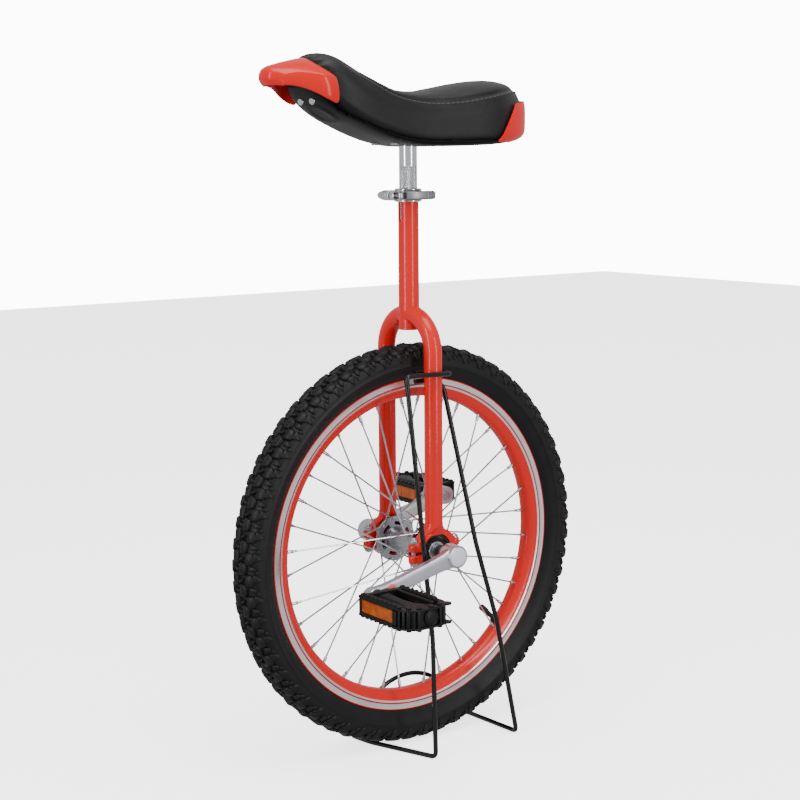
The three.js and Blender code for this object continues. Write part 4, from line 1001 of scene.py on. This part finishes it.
def makeSpindle(side, sign):
    bm = bmesh.new()
    shaft = Matrix.Translation((crank["length"] * mm, 0, 0)) @ Matrix.Rotation(math.radians(-90), 4, "X")
    addTurned(bm, [(0, 80.8), (5.6, 80.8), (6.7, 81.6), (6.7, 95.6), (0, 95.6)], 32, shaft, closed=False)
    addTurned(bm, [(0, 99.6), (6.4, 99.6), (5.2, 101.0), (5.0, 187.0), (0, 187.0)], 32, shaft, closed=False)
    addRod(bm, (crank["length"] * mm, 0.0954, 0), (crank["length"] * mm, 0.1, 0), 0.0084, 6, 0.0006)
    if sign < 0:
        mirrorY(bm)
    bmesh.ops.transform(bm, matrix=crankMatrix(sign), verts=bm.verts)
    finishMesh("pedalSpindle" + side.capitalize(), bm, [zincSteel], 35, "wheel", ["pedal_spindle_" + side],
               merge=0)


for side, sign in sides:
    makePedal(side, sign)
    makeSpindle(side, sign)
print("pedals done")


clamp = {
    "reach": 23.5,
    "height": 685.0,
    "low": 677.0,
    "high": 693.0,
    "pivotY": 16.6,
}

post = {
    "low": 575.0,
    "high": 748.8,
    "bore": 9.1,
    "radius": 11.1,
    "plateHalf": (42, 27),
}


def makeClamp():
    c = clamp
    x, z = c["reach"] * mm, c["height"] * mm        # the skewer's line
    bm = bmesh.new()
    profile = [(13.0, c["low"]), (15.6, c["low"]), (16.5, c["low"] + 0.9), (16.5, c["low"] + 3.4),
               (16.0, c["low"] + 4.2), (16.0, c["high"] - 4.2), (16.5, c["high"] - 3.4),
               (16.5, c["high"] - 0.9),
               (15.6, c["high"]), (13.0, c["high"])]
    addTurned(bm, profile, 72)
    gone = [f for f in bm.faces if abs(math.degrees(math.atan2(f.calc_center_median().y,
                                                               f.calc_center_median().x))) < 7]
    bmesh.ops.delete(bm, geom=gone, context="FACES")
    bmesh.ops.holes_fill(bm, edges=[e for e in bm.edges if e.is_boundary], sides=0)
    for sign in (1, -1):
        y0, y1 = sorted((sign * 1.7, sign * 8.6))
        addBlock(bm, (13.2, y0, c["low"] + 1.6), (c["reach"], y1, c["high"] - 1.6), 0.8, 2)
        addRod(bm, (x, y0 * mm, z), (x, y1 * mm, z), 0.0064, 36, 0.0008)
    finishMesh("clampCollar", bm, [polishedAluminium], 35, "clamp", ["clamp_collar"], merge=0)

    bm = bmesh.new()
    addRod(bm, (x, -0.0200, z), (x, c["pivotY"] * mm, z), 0.0026, 24)
    addRod(bm, (x, c["pivotY"] * mm, z - 0.0032), (x, c["pivotY"] * mm, z + 0.0032), 0.0034, 28, 0.0003)
    finishMesh("clampSkewer", bm, [zincSteel], 35, "clamp", ["clamp_skewer"], merge=0)

    bm = bmesh.new()
    acorn = [(2.9, 0.0), (5.6, 0.0), (6.4, 0.7), (6.5, 3.0), (6.0, 3.4), (6.0, 4.0), (6.4, 4.4), (6.4, 8.2),
             (5.4, 9.4), (5.1, 10.6), (5.2, 13.0), (4.6, 16.2), (3.0, 18.8), (0.0, 20.2)]
    inside = [(0.0, 12.0), (2.9, 12.0)]
    addTurned(bm, acorn + inside, 48, Matrix.Translation((x, -0.0089, z))
              @ Matrix.Rotation(math.radians(90), 4, "X"))
    finishMesh("clampNut", bm, [acornChrome], 35, "clamp", ["clamp_nut"], merge=0)


def makeLever():
    c = clamp
    bm = bmesh.new()
    pivot = Vector((c["reach"], c["pivotY"], c["height"]))
    # cam head: two round cheeks astride the barrel
    for z0, z1 in ((679.5, 681.4), (688.6, 690.5)):
        addRod(bm, (pivot.x * mm, pivot.y * mm, z0 * mm), (pivot.x * mm, pivot.y * mm, z1 * mm), 0.0073, 36,
               0.0005)
    # arm: a curved bar that thickens to a ribbed thumb end
    rings = []
    path = ((17.4, 18.2, 2.4, 5.2), (12.0, 21.4, 2.5, 5.3), (4.0, 23.6, 2.5, 5.4), (-5.0, 24.2, 2.5, 5.4),
            (-12.0, 23.6, 2.6, 5.4), (-19.0, 22.4, 2.7, 5.3), (-24.0, 21.0, 2.2, 4.6),
            (-25.4, 20.5, 1.2, 3.4))
    for x, y, halfY, halfZ in path:
        matrix = Matrix.Translation((x * mm, y * mm, c["height"] * mm)) @ Matrix.Rotation(math.radians(90),
                                                                                          4, "Y")
        rings.append((matrix @ Matrix.Diagonal((halfZ * mm, halfY * mm, 1, 1)), 3.4))
    loftRings(bm, rings, 32)
    for k in range(5):      # grip ribs across the outside of the tip
        x = -11.0 - 2.6 * k
        y = 23.8 - 0.4 * k + 2.4
        addRod(bm, (x * mm, y * mm, (c["height"] - 4.8) * mm), (x * mm, y * mm, (c["height"] + 4.8) * mm),
               0.0008, 10)
    finishMesh("clampLever", bm, [leverAluminium], 40, "lever", ["clamp_lever"], merge=0)


def makePost():
    low, high, bore, radius = post["low"], post["high"], post["bore"], post["radius"]
    bm = bmesh.new()
    addTurned(bm, [(bore, low), (radius - 0.4, low), (radius, low + 0.6), (radius, high), (bore, high)], 96)
    x, y = post["plateHalf"]
    addBlock(bm, (-x, -y, high - 0.2), (x, y, high + 3.8), 1.0, 3)
    finishMesh("seatPost", bm, [brightChrome], 35, "seat", ["seat_post"], merge=0)


makeClamp()
makeLever()
makePost()
print("clamp and post done")


saddle = {
    "rear": -158.0,
    "front": 156.0,
    "top": [(-161, 818), (-145, 827), (-110, 827), (-70, 821.5), (-36, 815.5), (-5, 811), (30, 812),
            (50, 818),
            (88, 835), (104, 844.5), (117, 852.5), (133, 858), (147, 857.5), (156, 853)],
    "coverLow": [(-165, 751), (-60, 747), (5, 747), (37, 751), (60, 756.5), (85, 765), (110, 776), (130, 788),
                 (156, 808)],
    "width": [(-165, 60), (-130, 63), (-90, 68), (-40, 60), (10, 52), (60, 49), (110, 49), (156, 48)],
    "seam": [(-165, 811), (-130, 812), (-100, 808), (-75, 803.5), (-40, 798), (0, 796.5), (30, 800.5),
             (55, 808),
             (90, 826), (120, 838), (156, 842)],
    "swell": 5.0,           # how far the padding may move when it is blown up
    "pressure": 4.0,
}


def heightAt(points, x):
    # smooth curve through the points, each span bent by the slopes at its ends
    xs = [p[0] for p in points]
    if x <= xs[0]:
        return points[0][1]
    if x >= xs[-1]:
        return points[-1][1]
    i = next(k for k in range(len(xs) - 1) if xs[k + 1] >= x)

    def slope(k):
        a, b = max(k - 1, 0), min(k + 1, len(xs) - 1)
        return (points[b][1] - points[a][1]) / (xs[b] - xs[a])
    span = xs[i + 1] - xs[i]
    t = (x - xs[i]) / span
    h00, h10 = 2 * t ** 3 - 3 * t ** 2 + 1, t ** 3 - 2 * t ** 2 + t
    h01, h11 = -2 * t ** 3 + 3 * t ** 2, t ** 3 - t ** 2
    return h00 * points[i][1] + h10 * span * slope(i) + h01 * points[i + 1][1] + h11 * span * slope(i + 1)


def soften(value, power):
    return math.copysign(abs(value) ** power, value)


def noseShare(x, start=-10.0, length=90.0):
    # 0 behind the start and 1 ahead of it, with a soft change between
    t = max(0.0, min(1.0, (x - start) / length))
    return t * t * (3 - 2 * t)


def shapeSaddle(bm, inset, lowDrop=0.0):
    # pulls a ball out into the saddle: boxy behind, tapering to a keel under the nose
    s = saddle
    middle = (s["rear"] + s["front"]) / 2
    halfLength = (s["front"] - s["rear"]) / 2 - inset
    for vert in bm.verts:
        px, py, pz = vert.co
        t = soften(math.asin(max(-1, min(1, px))) / (math.pi / 2), 0.8)
        x = middle + halfLength * t
        close = (1 - min(abs(t), 1) ** (5 if t > 0 else 6)) ** (1 / 2.5)
        circle = math.hypot(py, pz)
        ca, sa = (py / circle, pz / circle) if circle > 1e-6 else (0, 0)
        low, top = heightAt(s["coverLow"], x), heightAt(s["top"], x)
        waist = low + (top - low) * 0.45
        low += inset - lowDrop
        y = (heightAt(s["width"], x) - inset) * soften(ca, 0.8 if sa > 0 else 0.15
                                                       + 0.6 * noseShare(x)) * close
        rise = (top - inset - waist) * soften(sa, 0.95) if sa > 0 else (waist - low) * soften(sa, 0.25)
        z = waist + rise * (0.25 + 0.75 * close) * (1 if circle > 1e-6 else 0)
        vert.co = (x * mm, y * mm, z * mm)


def newBall(u, v):
    bm = bmesh.new()
    bmesh.ops.create_uvsphere(bm, u_segments=u, v_segments=v, radius=1.0)
    bmesh.ops.rotate(bm, cent=(0, 0, 0), matrix=Matrix.Rotation(math.radians(90), 3, "Y"), verts=bm.verts)
    return bm


def puff(piece, seamWeight):
    # the padding under the skin: the cloth swells between its seams and its hem, and stays close to its start
    mesh = piece.data
    start = [v.co.copy() for v in mesh.vertices]
    group = piece.vertex_groups.new(name="sewn")
    for vert in mesh.vertices:
        group.add([vert.index], seamWeight(vert.co), "REPLACE")
    cloth = piece.modifiers.new("puff", "CLOTH")
    cloth.settings.use_pressure = True
    cloth.settings.uniform_pressure_force = saddle["pressure"]
    cloth.settings.vertex_group_mass = "sewn"
    cloth.settings.pin_stiffness = 2.0
    cloth.settings.tension_stiffness = 30
    cloth.settings.compression_stiffness = 30
    cloth.settings.bending_stiffness = 8
    cloth.settings.effector_weights.gravity = 0
    scene = bpy.context.scene
    cloth.point_cache.frame_start, cloth.point_cache.frame_end = 1, 20
    for step in range(1, 21):
        scene.frame_set(step)
    graph = bpy.context.evaluated_depsgraph_get()
    swollen = [v.co.copy() for v in piece.evaluated_get(graph).data.vertices]
    piece.modifiers.remove(cloth)
    piece.vertex_groups.clear()
    scene.frame_set(1)
    cap = saddle["swell"] * mm
    for vert, here, there in zip(mesh.vertices, start, swollen):
        move = there - here
        vert.co = here + move * min(1, cap / max(move.length, 1e-9))
    mesh.update()


def makeCover():
    s = saddle
    bm = newBall(64, 80)
    shapeSaddle(bm, 1.6)
    shell = finishMesh("coverShell", bm, [], 180)
    def sewn(point):
        x, y, z = (c / mm for c in point)
        away = abs(z - heightAt(s["seam"], x))
        hem = abs(z - heightAt(s["coverLow"], x))
        seamHold = 1.0 if away < 2.5 and -150 < x < 90 and abs(y) > 20 else 0.0
        hemHold = 1.0 if hem < 9 else 0.0
        endHold = 0.85 if x > 135 or x < -153 else 0.0
        return max(seamHold, hemHold, endHold, 0.25)
    puff(shell, sewn)
    smoothed(shell, 2)
    graph = bpy.context.evaluated_depsgraph_get()
    bm = bmesh.new()
    bm.from_mesh(shell.evaluated_get(graph).to_mesh())
    bpy.data.objects.remove(shell)
    sewSeams(bm)
    piece = finishMesh("saddleCover", bm, [saddleVinyl], 180)
    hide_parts("saddle_cover", "saddle_foam")
    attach(piece, "seat")


def sewSeams(bm):
    # draws the cover in along its seams and gathers the front end
    s = saddle
    for vert in bm.verts:
        x, y, z = (c / mm for c in vert.co)
        side = math.copysign(1, y)
        if abs(y) > 12 and -158 < x < 118:
            away = z - heightAt(s["seam"], x)
            fade = max(0.0, min(1.0, (x + 152) / 40, (118 - x) / 50))
            push = (1.3 * math.exp(-((away + 5.0) / 3.2) ** 2) + 0.7 * math.exp(-((away - 5.5) / 3.6) ** 2)
                    - 2.3 * math.exp(-(away / 1.9) ** 2)) * fade * mm
            vert.co.y += side * push * 0.8
            vert.co.z += push * 0.6
        if x > 128:     # little folds where the front end is gathered under the grip
            wave = math.sin(math.atan2(z - 830, y) * 15 + 0.7 * math.sin(y * 0.35))
            strength = min(1.0, (x - 128) / 16)
            vert.co.x += 0.9 * wave * strength * mm
            vert.co.z += 0.7 * wave * strength * mm


def coverSpot(x, side, z):
    # the point on the skin straight out from the saddle's middle, and its outward direction
    graph = bpy.context.evaluated_depsgraph_get()
    shape = bpy.data.objects["saddleCover"].evaluated_get(graph)
    hit, place, normal, _ = shape.ray_cast(Vector((x * mm, side * 0.2, z * mm)), Vector((0, -side, 0)))
    return (place, normal) if hit else (None, None)


def makeStitches():
    # thread stitches 3 mm long, 6.4 mm apart, just under each seam
    s = saddle
    bm = bmesh.new()
    for side in (1, -1):
        x = -150.0
        while x < 96:
            place, normal = coverSpot(x, side, heightAt(s["seam"], x) - 3.4)
            slope = (heightAt(s["seam"], x + 1) - heightAt(s["seam"], x - 1)) / 2
            if place:
                along = Vector((1, 0, slope)).normalized()
                along = (along - normal * along.dot(normal)).normalized()
                centre = place + normal * 0.0002
                addRod(bm, centre - along * 0.0015, centre + along * 0.0015, 0.00055, 6)
            x += 6.4
    piece = finishMesh("seamStitches", bm, [stitchThread], 60, "seat", merge=0)


def makeHem():
    # a thin welt that closes the lower edge of the cover on each side
    s = saddle
    for side, sign in sides:
        points = []
        for k in range(60):
            x = -112.0 + k * 4.1
            low = heightAt(s["coverLow"], x)
            place, normal = coverSpot(x, sign, low + 3.2 + 1.5 * noseShare(x))
            if place:
                points.append(place + normal * 0.0004)
        piece = wireMesh("coverWelt" + side.capitalize(), points, 0.0011, saddleVinyl, "seat")


tray = {
    "inset": 0.6,
    "drop": 4.0,            # how far its floor hangs below the cover's lower edge
    "rim": 2.4,             # how far its wall stands up round the cover, and how much more at the nose
    "noseRim": 8.0,
    "noseReach": 9.0,       # how far the nose runs on under the grip
    "wall": 0.0022,
}


def makeBase():
    s, t = saddle, tray
    bm = newBall(96, 80)
    shapeSaddle(bm, t["inset"], t["drop"])
    gone = []
    for face in bm.faces:
        middle = face.calc_center_median() / mm
        rimHeight = t["rim"] + t["noseRim"] * noseShare(middle.x, 112, 34)
        if middle.z > heightAt(s["coverLow"], middle.x) + rimHeight:
            gone.append(face)
    bmesh.ops.delete(bm, geom=gone, context="FACES")
    bmesh.ops.recalc_face_normals(bm, faces=bm.faces)
    # a raised lip follows the nose under the grip
    for vert in bm.verts:
        x, y = vert.co.x / mm, vert.co.y / mm
        ring = math.hypot(x - 118, y / 1.5)
        vert.co.z -= 1.6 * mm * math.exp(-((ring - 12) / 2.2) ** 2)
        vert.co.x += t["noseReach"] * mm * noseShare(x, 85, 55)
    bm.normal_update()
    if min(bm.faces, key=lambda f: f.calc_center_median().z).normal.z > 0:
        bmesh.ops.reverse_faces(bm, faces=bm.faces)         # faces point out of the tray
    piece = finishMesh("saddleBase", bm, [baseNylon], 60, "seat", ["saddle_base"],
                       recalc=False)
    shell = piece.modifiers.new("wall", "SOLIDIFY")
    shell.thickness = t["wall"]
    shell.offset = -1


handle = {
    # from the lower lip of the beak, over its front and back along the roof: middle x, z and edge x, y, z
    "rows": ((201.0, 811.5, 190.5, 18.0, 811.0), (205.0, 820.0, 190.0, 22.0, 811.2),
             (204.5, 829.0, 188.5, 23.6, 811.6), (199.5, 834.2, 186.5, 24.6, 811.6),
             (187.0, 837.6, 181.0, 27.2, 811.2),
             (175.0, 840.4, 173.0, 32.5, 809.6), (166.0, 842.6, 162.0, 41.0, 804.5),
             (158.5, 844.2, 150.0, 48.0, 797.5),
             (154.0, 845.0, 138.0, 48.6, 792.0), (152.0, 845.3, 129.5, 45.5, 790.5)),
    "across": (0.0, 0.26, 0.5, 0.68, 0.84, 0.98, 1.03, 1.03, 1.0),      # share of the half width
    "fall": (0.0, 0.04, 0.13, 0.23, 0.33, 0.44, 0.6, 0.8, 1.0),         # share of the drop to the edge
    "lean": (0.0, 0.01, 0.1, 0.36, 0.66, 0.86, 0.93, 0.97, 1.0),        # share of the way back to the edge
    "ridge": 5,             # the column that stays a crisp fold
    "wall": 0.003,
}


def makeHandle():
    h = handle
    count = len(h["across"])
    columns = count * 2 - 1
    bm = bmesh.new()
    bmesh.ops.create_grid(bm, x_segments=columns - 1, y_segments=len(h["rows"]) - 1, size=1.0)
    crease = bm.edges.layers.float.new("crease_edge")
    place = {}
    for vert in bm.verts:
        c = round((vert.co.x + 1) / 2 * (columns - 1)) - (count - 1)
        r = round((vert.co.y + 1) / 2 * (len(h["rows"]) - 1))
        place[vert] = (abs(c), r)
        midX, midZ, edgeX, edgeY, edgeZ = h["rows"][r]
        k = abs(c)
        x = midX + (edgeX - midX) * h["lean"][k]
        y = math.copysign(edgeY * h["across"][k], c) if c else 0.0
        z = midZ + (edgeZ - midZ) * h["fall"][k]
        vert.co = (x * mm, y * mm, z * mm)
    for edge in bm.edges:
        (c0, r0), (c1, r1) = (place[v] for v in edge.verts)
        if c0 == c1 == h["ridge"] and min(r0, r1) >= 1:
            edge[crease] = 0.55
        if r0 == r1 == 1 or r0 == r1 == len(h["rows"]) - 1:
            edge[crease] = 0.4
    bmesh.ops.recalc_face_normals(bm, faces=bm.faces)
    if sum(f.normal.z * f.calc_area() for f in bm.faces) < 0:
        bmesh.ops.reverse_faces(bm, faces=bm.faces)
    piece = finishMesh("frontHandle", bm, [redAbs], 180, "seat", ["front_handle"],
                       recalc=False)
    shell = piece.modifiers.new("wall", "SOLIDIFY")
    shell.thickness = h["wall"]
    shell.offset = -1
    smoothed(piece, 3)


bumper = {
    "clear": 1.0,           # how far its inside stands off the cover
    "wall": 0.0026,
    "sweepPoint": (-0.108, 0, 0.778),       # the front edge sweeps back as it rises
    "sweepNormal": (0.82, 0, 0.57),
    "top": 0.7985,
    "bottom": 0.7500,
}


def makeBumper():
    b = bumper
    bm = newBall(128, 96)
    shapeSaddle(bm, -b["clear"])
    for point, normal in ((b["sweepPoint"], b["sweepNormal"]), ((-0.155, 0, b["top"]), (0.12, 0, 1)),
                          ((-0.14, 0, b["bottom"]), (0, 0, -1))):
        bmesh.ops.bisect_plane(bm, geom=bm.verts[:] + bm.edges[:] + bm.faces[:], plane_co=point,
                               plane_no=normal, clear_outer=True)
    bmesh.ops.recalc_face_normals(bm, faces=bm.faces)
    piece = finishMesh("rearBumper", bm, [redAbs], 60, "seat", ["rear_bumper"])
    shell = piece.modifiers.new("wall", "SOLIDIFY")
    shell.thickness = b["wall"]
    shell.offset = 1
    softEdges(piece, 0.0008, 3, 50)


def noseSpot(y, z):
    # the foremost point of the saddle on a line drawn back from ahead of the nose
    graph = bpy.context.evaluated_depsgraph_get()
    found = Vector((0.1, y, z))
    for name in ("saddleCover", "saddleBase"):
        shape = bpy.data.objects[name].evaluated_get(graph)
        hit, place, _, _ = shape.ray_cast(Vector((0.25, y, z)), Vector((-1, 0, 0)))
        if hit and place.x > found.x:
            found = place
    return found


def makeHandleScrews():
    for side, _ in sides:
        low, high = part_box("handle_screw_" + side)
        bm = bmesh.new()
        centre = (low + high) / 2
        spot = noseSpot(centre.y, centre.z)
        matrix = turnTo((1, 0, 0), (spot.x - 0.0006, centre.y, centre.z))
        addTurned(bm, [(0, 3.0), (2.6, 2.9), (4.2, 2.2), (5.0, 0.8), (5.0, 0.0), (2.5, 0.0), (2.5, -9.0),
                       (0, -9.0)], 32, matrix, closed=False)
        finishMesh("handleScrew" + side.capitalize(), bm, [acornChrome], 35, "seat", ["handle_screw_" + side],
                   merge=0)


def makeSaddleBolts():
    for end in ("front", "rear"):
        for side, _ in sides:
            node = f"saddle_bolt_{end}_{side}"
            low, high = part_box(node)
            x, y = (low.x + high.x) / 2, (low.y + high.y) / 2
            bm = bmesh.new()
            addRod(bm, (x, y, low.z), (x, y, low.z + 0.0035), 0.0052, 6, 0.0005)
            addRod(bm, (x, y, low.z + 0.003), (x, y, high.z), 0.003, 16, 0.0003)
            finishMesh(f"saddleBolt{end.capitalize()}{side.capitalize()}", bm, [zincSteel], 30, "seat",
                       [node],
                       merge=0)


stitchThread = makePlastic("bondedNylonThread", "#45464c", 0.6)
makeCover()
makeStitches()
makeHem()
makeBase()
makeHandle()
makeBumper()
makeHandleScrews()
makeSaddleBolts()
print("saddle done")


stand = {
    "radius": 3.0,
    "bend": 7.0,
    "archRadius": 80.0,
    "archDrop": 21.0,       # how far the arch's centre lies below the floor bars
}


def bentPath(corners, bend, steps=5):
    # straight runs joined by small bends
    points = [Vector(c) for c in corners]
    path = [points[0]]
    for before, here, after in zip(points, points[1:], points[2:]):
        back, ahead = before - here, after - here
        reach = min(bend, back.length * 0.45, ahead.length * 0.45)
        start, end = here + back.normalized() * reach, here + ahead.normalized() * reach
        for k in range(steps + 1):
            t = k / steps
            path.append(start * (1 - t) ** 2 + here * 2 * t * (1 - t) + end * t ** 2)
    path.append(points[-1])
    return [p * mm for p in path]


def makeStand():
    r = stand["radius"]
    gap = frameTube["legRadius"] + r + 0.4          # from the leg's middle to the wire that hugs it
    inside, outside = frameTube["legY"] - gap, frameTube["legY"] + gap
    radius, drop = stand["archRadius"], stand["archDrop"]
    reach = math.acos(drop / radius)
    arch = []
    for k in range(15):
        angle = reach - 2 * reach * k / 14
        arch.append((radius * math.sin(angle) - 29, -50, radius * math.cos(angle) + r + 1 - drop))
    corners = [(17, inside, 471), (-17, inside, 471), (-17, outside, 471), (51, outside, 473),
               (21.5, 73, 148),
               (27.5, 86, r), (61, -5, r), (66, -40, r), *arch, (-105, -40, r), (-110, 76, r),
               (-79.5, 73, 155),
               (-52, 66, 256), (-19, 44, 452), (-15, inside, 461), (17, inside, 461)]
    wireMesh("standWire", bentPath(corners, stand["bend"]), r * mm, enamelBlack, "frame", ["stand_wire"])


makeStand()
print("stand done")


# the axle keeps its CAD shape and only gets its finish
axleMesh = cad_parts["axle"].data
axleMesh.materials.clear()
axleMesh.materials.append(zincSteel)


studio = {
    "eye": (1.19208, 1.60577, 0.73172),
    "forward": (-0.58479, -0.79763, -0.14769),
    "right": (-0.80576, 0.59219, -0.00773),
    "above": (-0.09363, -0.11448, 0.98900),
    "lens": 73.45,
    "aim": (0, 0, 0.42),        # where the lamps point
    "floorSize": 6,
    "floorColour": "#ffffff",
    "floorGlow": 2.2,           # light in the paper itself, so that it stays pale under soft lamps
    "fill": 1.05,               # light from all round on dull surfaces
    "backdrop": 12.0,           # what the camera sees behind the floor
    "mirrored": 0.62,           # what shiny surfaces see all round
    "lamps": (("keyLight", (2.3, 0.4, 1.0), (0.38, 2.2), 34.0),
              ("fillLight", (-0.4, 2.5, 1.0), (0.38, 2.2), 30.0),
              ("topLight", (0.3, 0.6, 2.9), (1.8, 1.8), 62.0)),
}


def makeStudio():
    s = studio
    camera = bpy.data.cameras.new("camera")
    camera.lens = s["lens"]
    camera.sensor_width = 36
    camera.dof.use_dof = False
    eye = bpy.data.objects.new("camera", camera)
    bpy.context.scene.collection.objects.link(eye)
    matrix = Matrix((s["right"], s["above"], [-c for c in s["forward"]])).transposed().to_4x4()
    eye.matrix_world = Matrix.Translation(s["eye"]) @ matrix
    bpy.context.scene.camera = eye

    bm = bmesh.new()
    bmesh.ops.create_grid(bm, x_segments=1, y_segments=1, size=s["floorSize"])
    floor = finishMesh("floor", bm, [], 60)
    material, tree, shader = newMaterial("matPaper", Base_Color=s["floorColour"], Roughness=0.9,
                                         Emission_Color=s["floorColour"], Emission_Strength=s["floorGlow"])
    floor.data.materials.append(material)
    # its glow stays out of the shiny tubes and doesn't light the object from below
    floor.visible_glossy = False
    floor.visible_diffuse = False

    world = bpy.data.worlds.new("studio")
    bpy.context.scene.world = world
    world.use_nodes = True
    tree = world.node_tree
    background = tree.nodes["Background"]
    background.inputs["Color"].default_value = (1, 1, 1, 1)
    background.inputs["Strength"].default_value = s["fill"]
    # the backdrop is white to the camera and dim to polished metal, so that the lamps draw the highlights
    seen = addNode(tree, "ShaderNodeBackground", {"Color": (1, 1, 1, 1), "Strength": s["backdrop"]})
    mirrored = addNode(tree, "ShaderNodeBackground", {"Color": (1, 1, 1, 1), "Strength": s["mirrored"]})
    path = addNode(tree, "ShaderNodeLightPath")
    gloss = addNode(tree, "ShaderNodeMixShader", links={0: path.outputs["Is Glossy Ray"],
                                                        1: background.outputs[0], 2: mirrored.outputs[0]})
    mix = addNode(tree, "ShaderNodeMixShader", links={0: path.outputs["Is Camera Ray"],
                                                      1: gloss.outputs[0], 2: seen.outputs[0]})
    tree.links.new(mix.outputs[0], tree.nodes["World Output"].inputs["Surface"])

    for name, place, size, power in s["lamps"]:
        lamp = bpy.data.lights.new(name, "AREA")
        lamp.shape = "RECTANGLE"
        lamp.size, lamp.size_y = size
        lamp.energy = power
        light = bpy.data.objects.new(name, lamp)
        bpy.context.scene.collection.objects.link(light)
        light.location = place
        aim = Vector(s["aim"]) - Vector(place)
        light.rotation_euler = aim.to_track_quat("-Z", "Y").to_euler()


makeStudio()
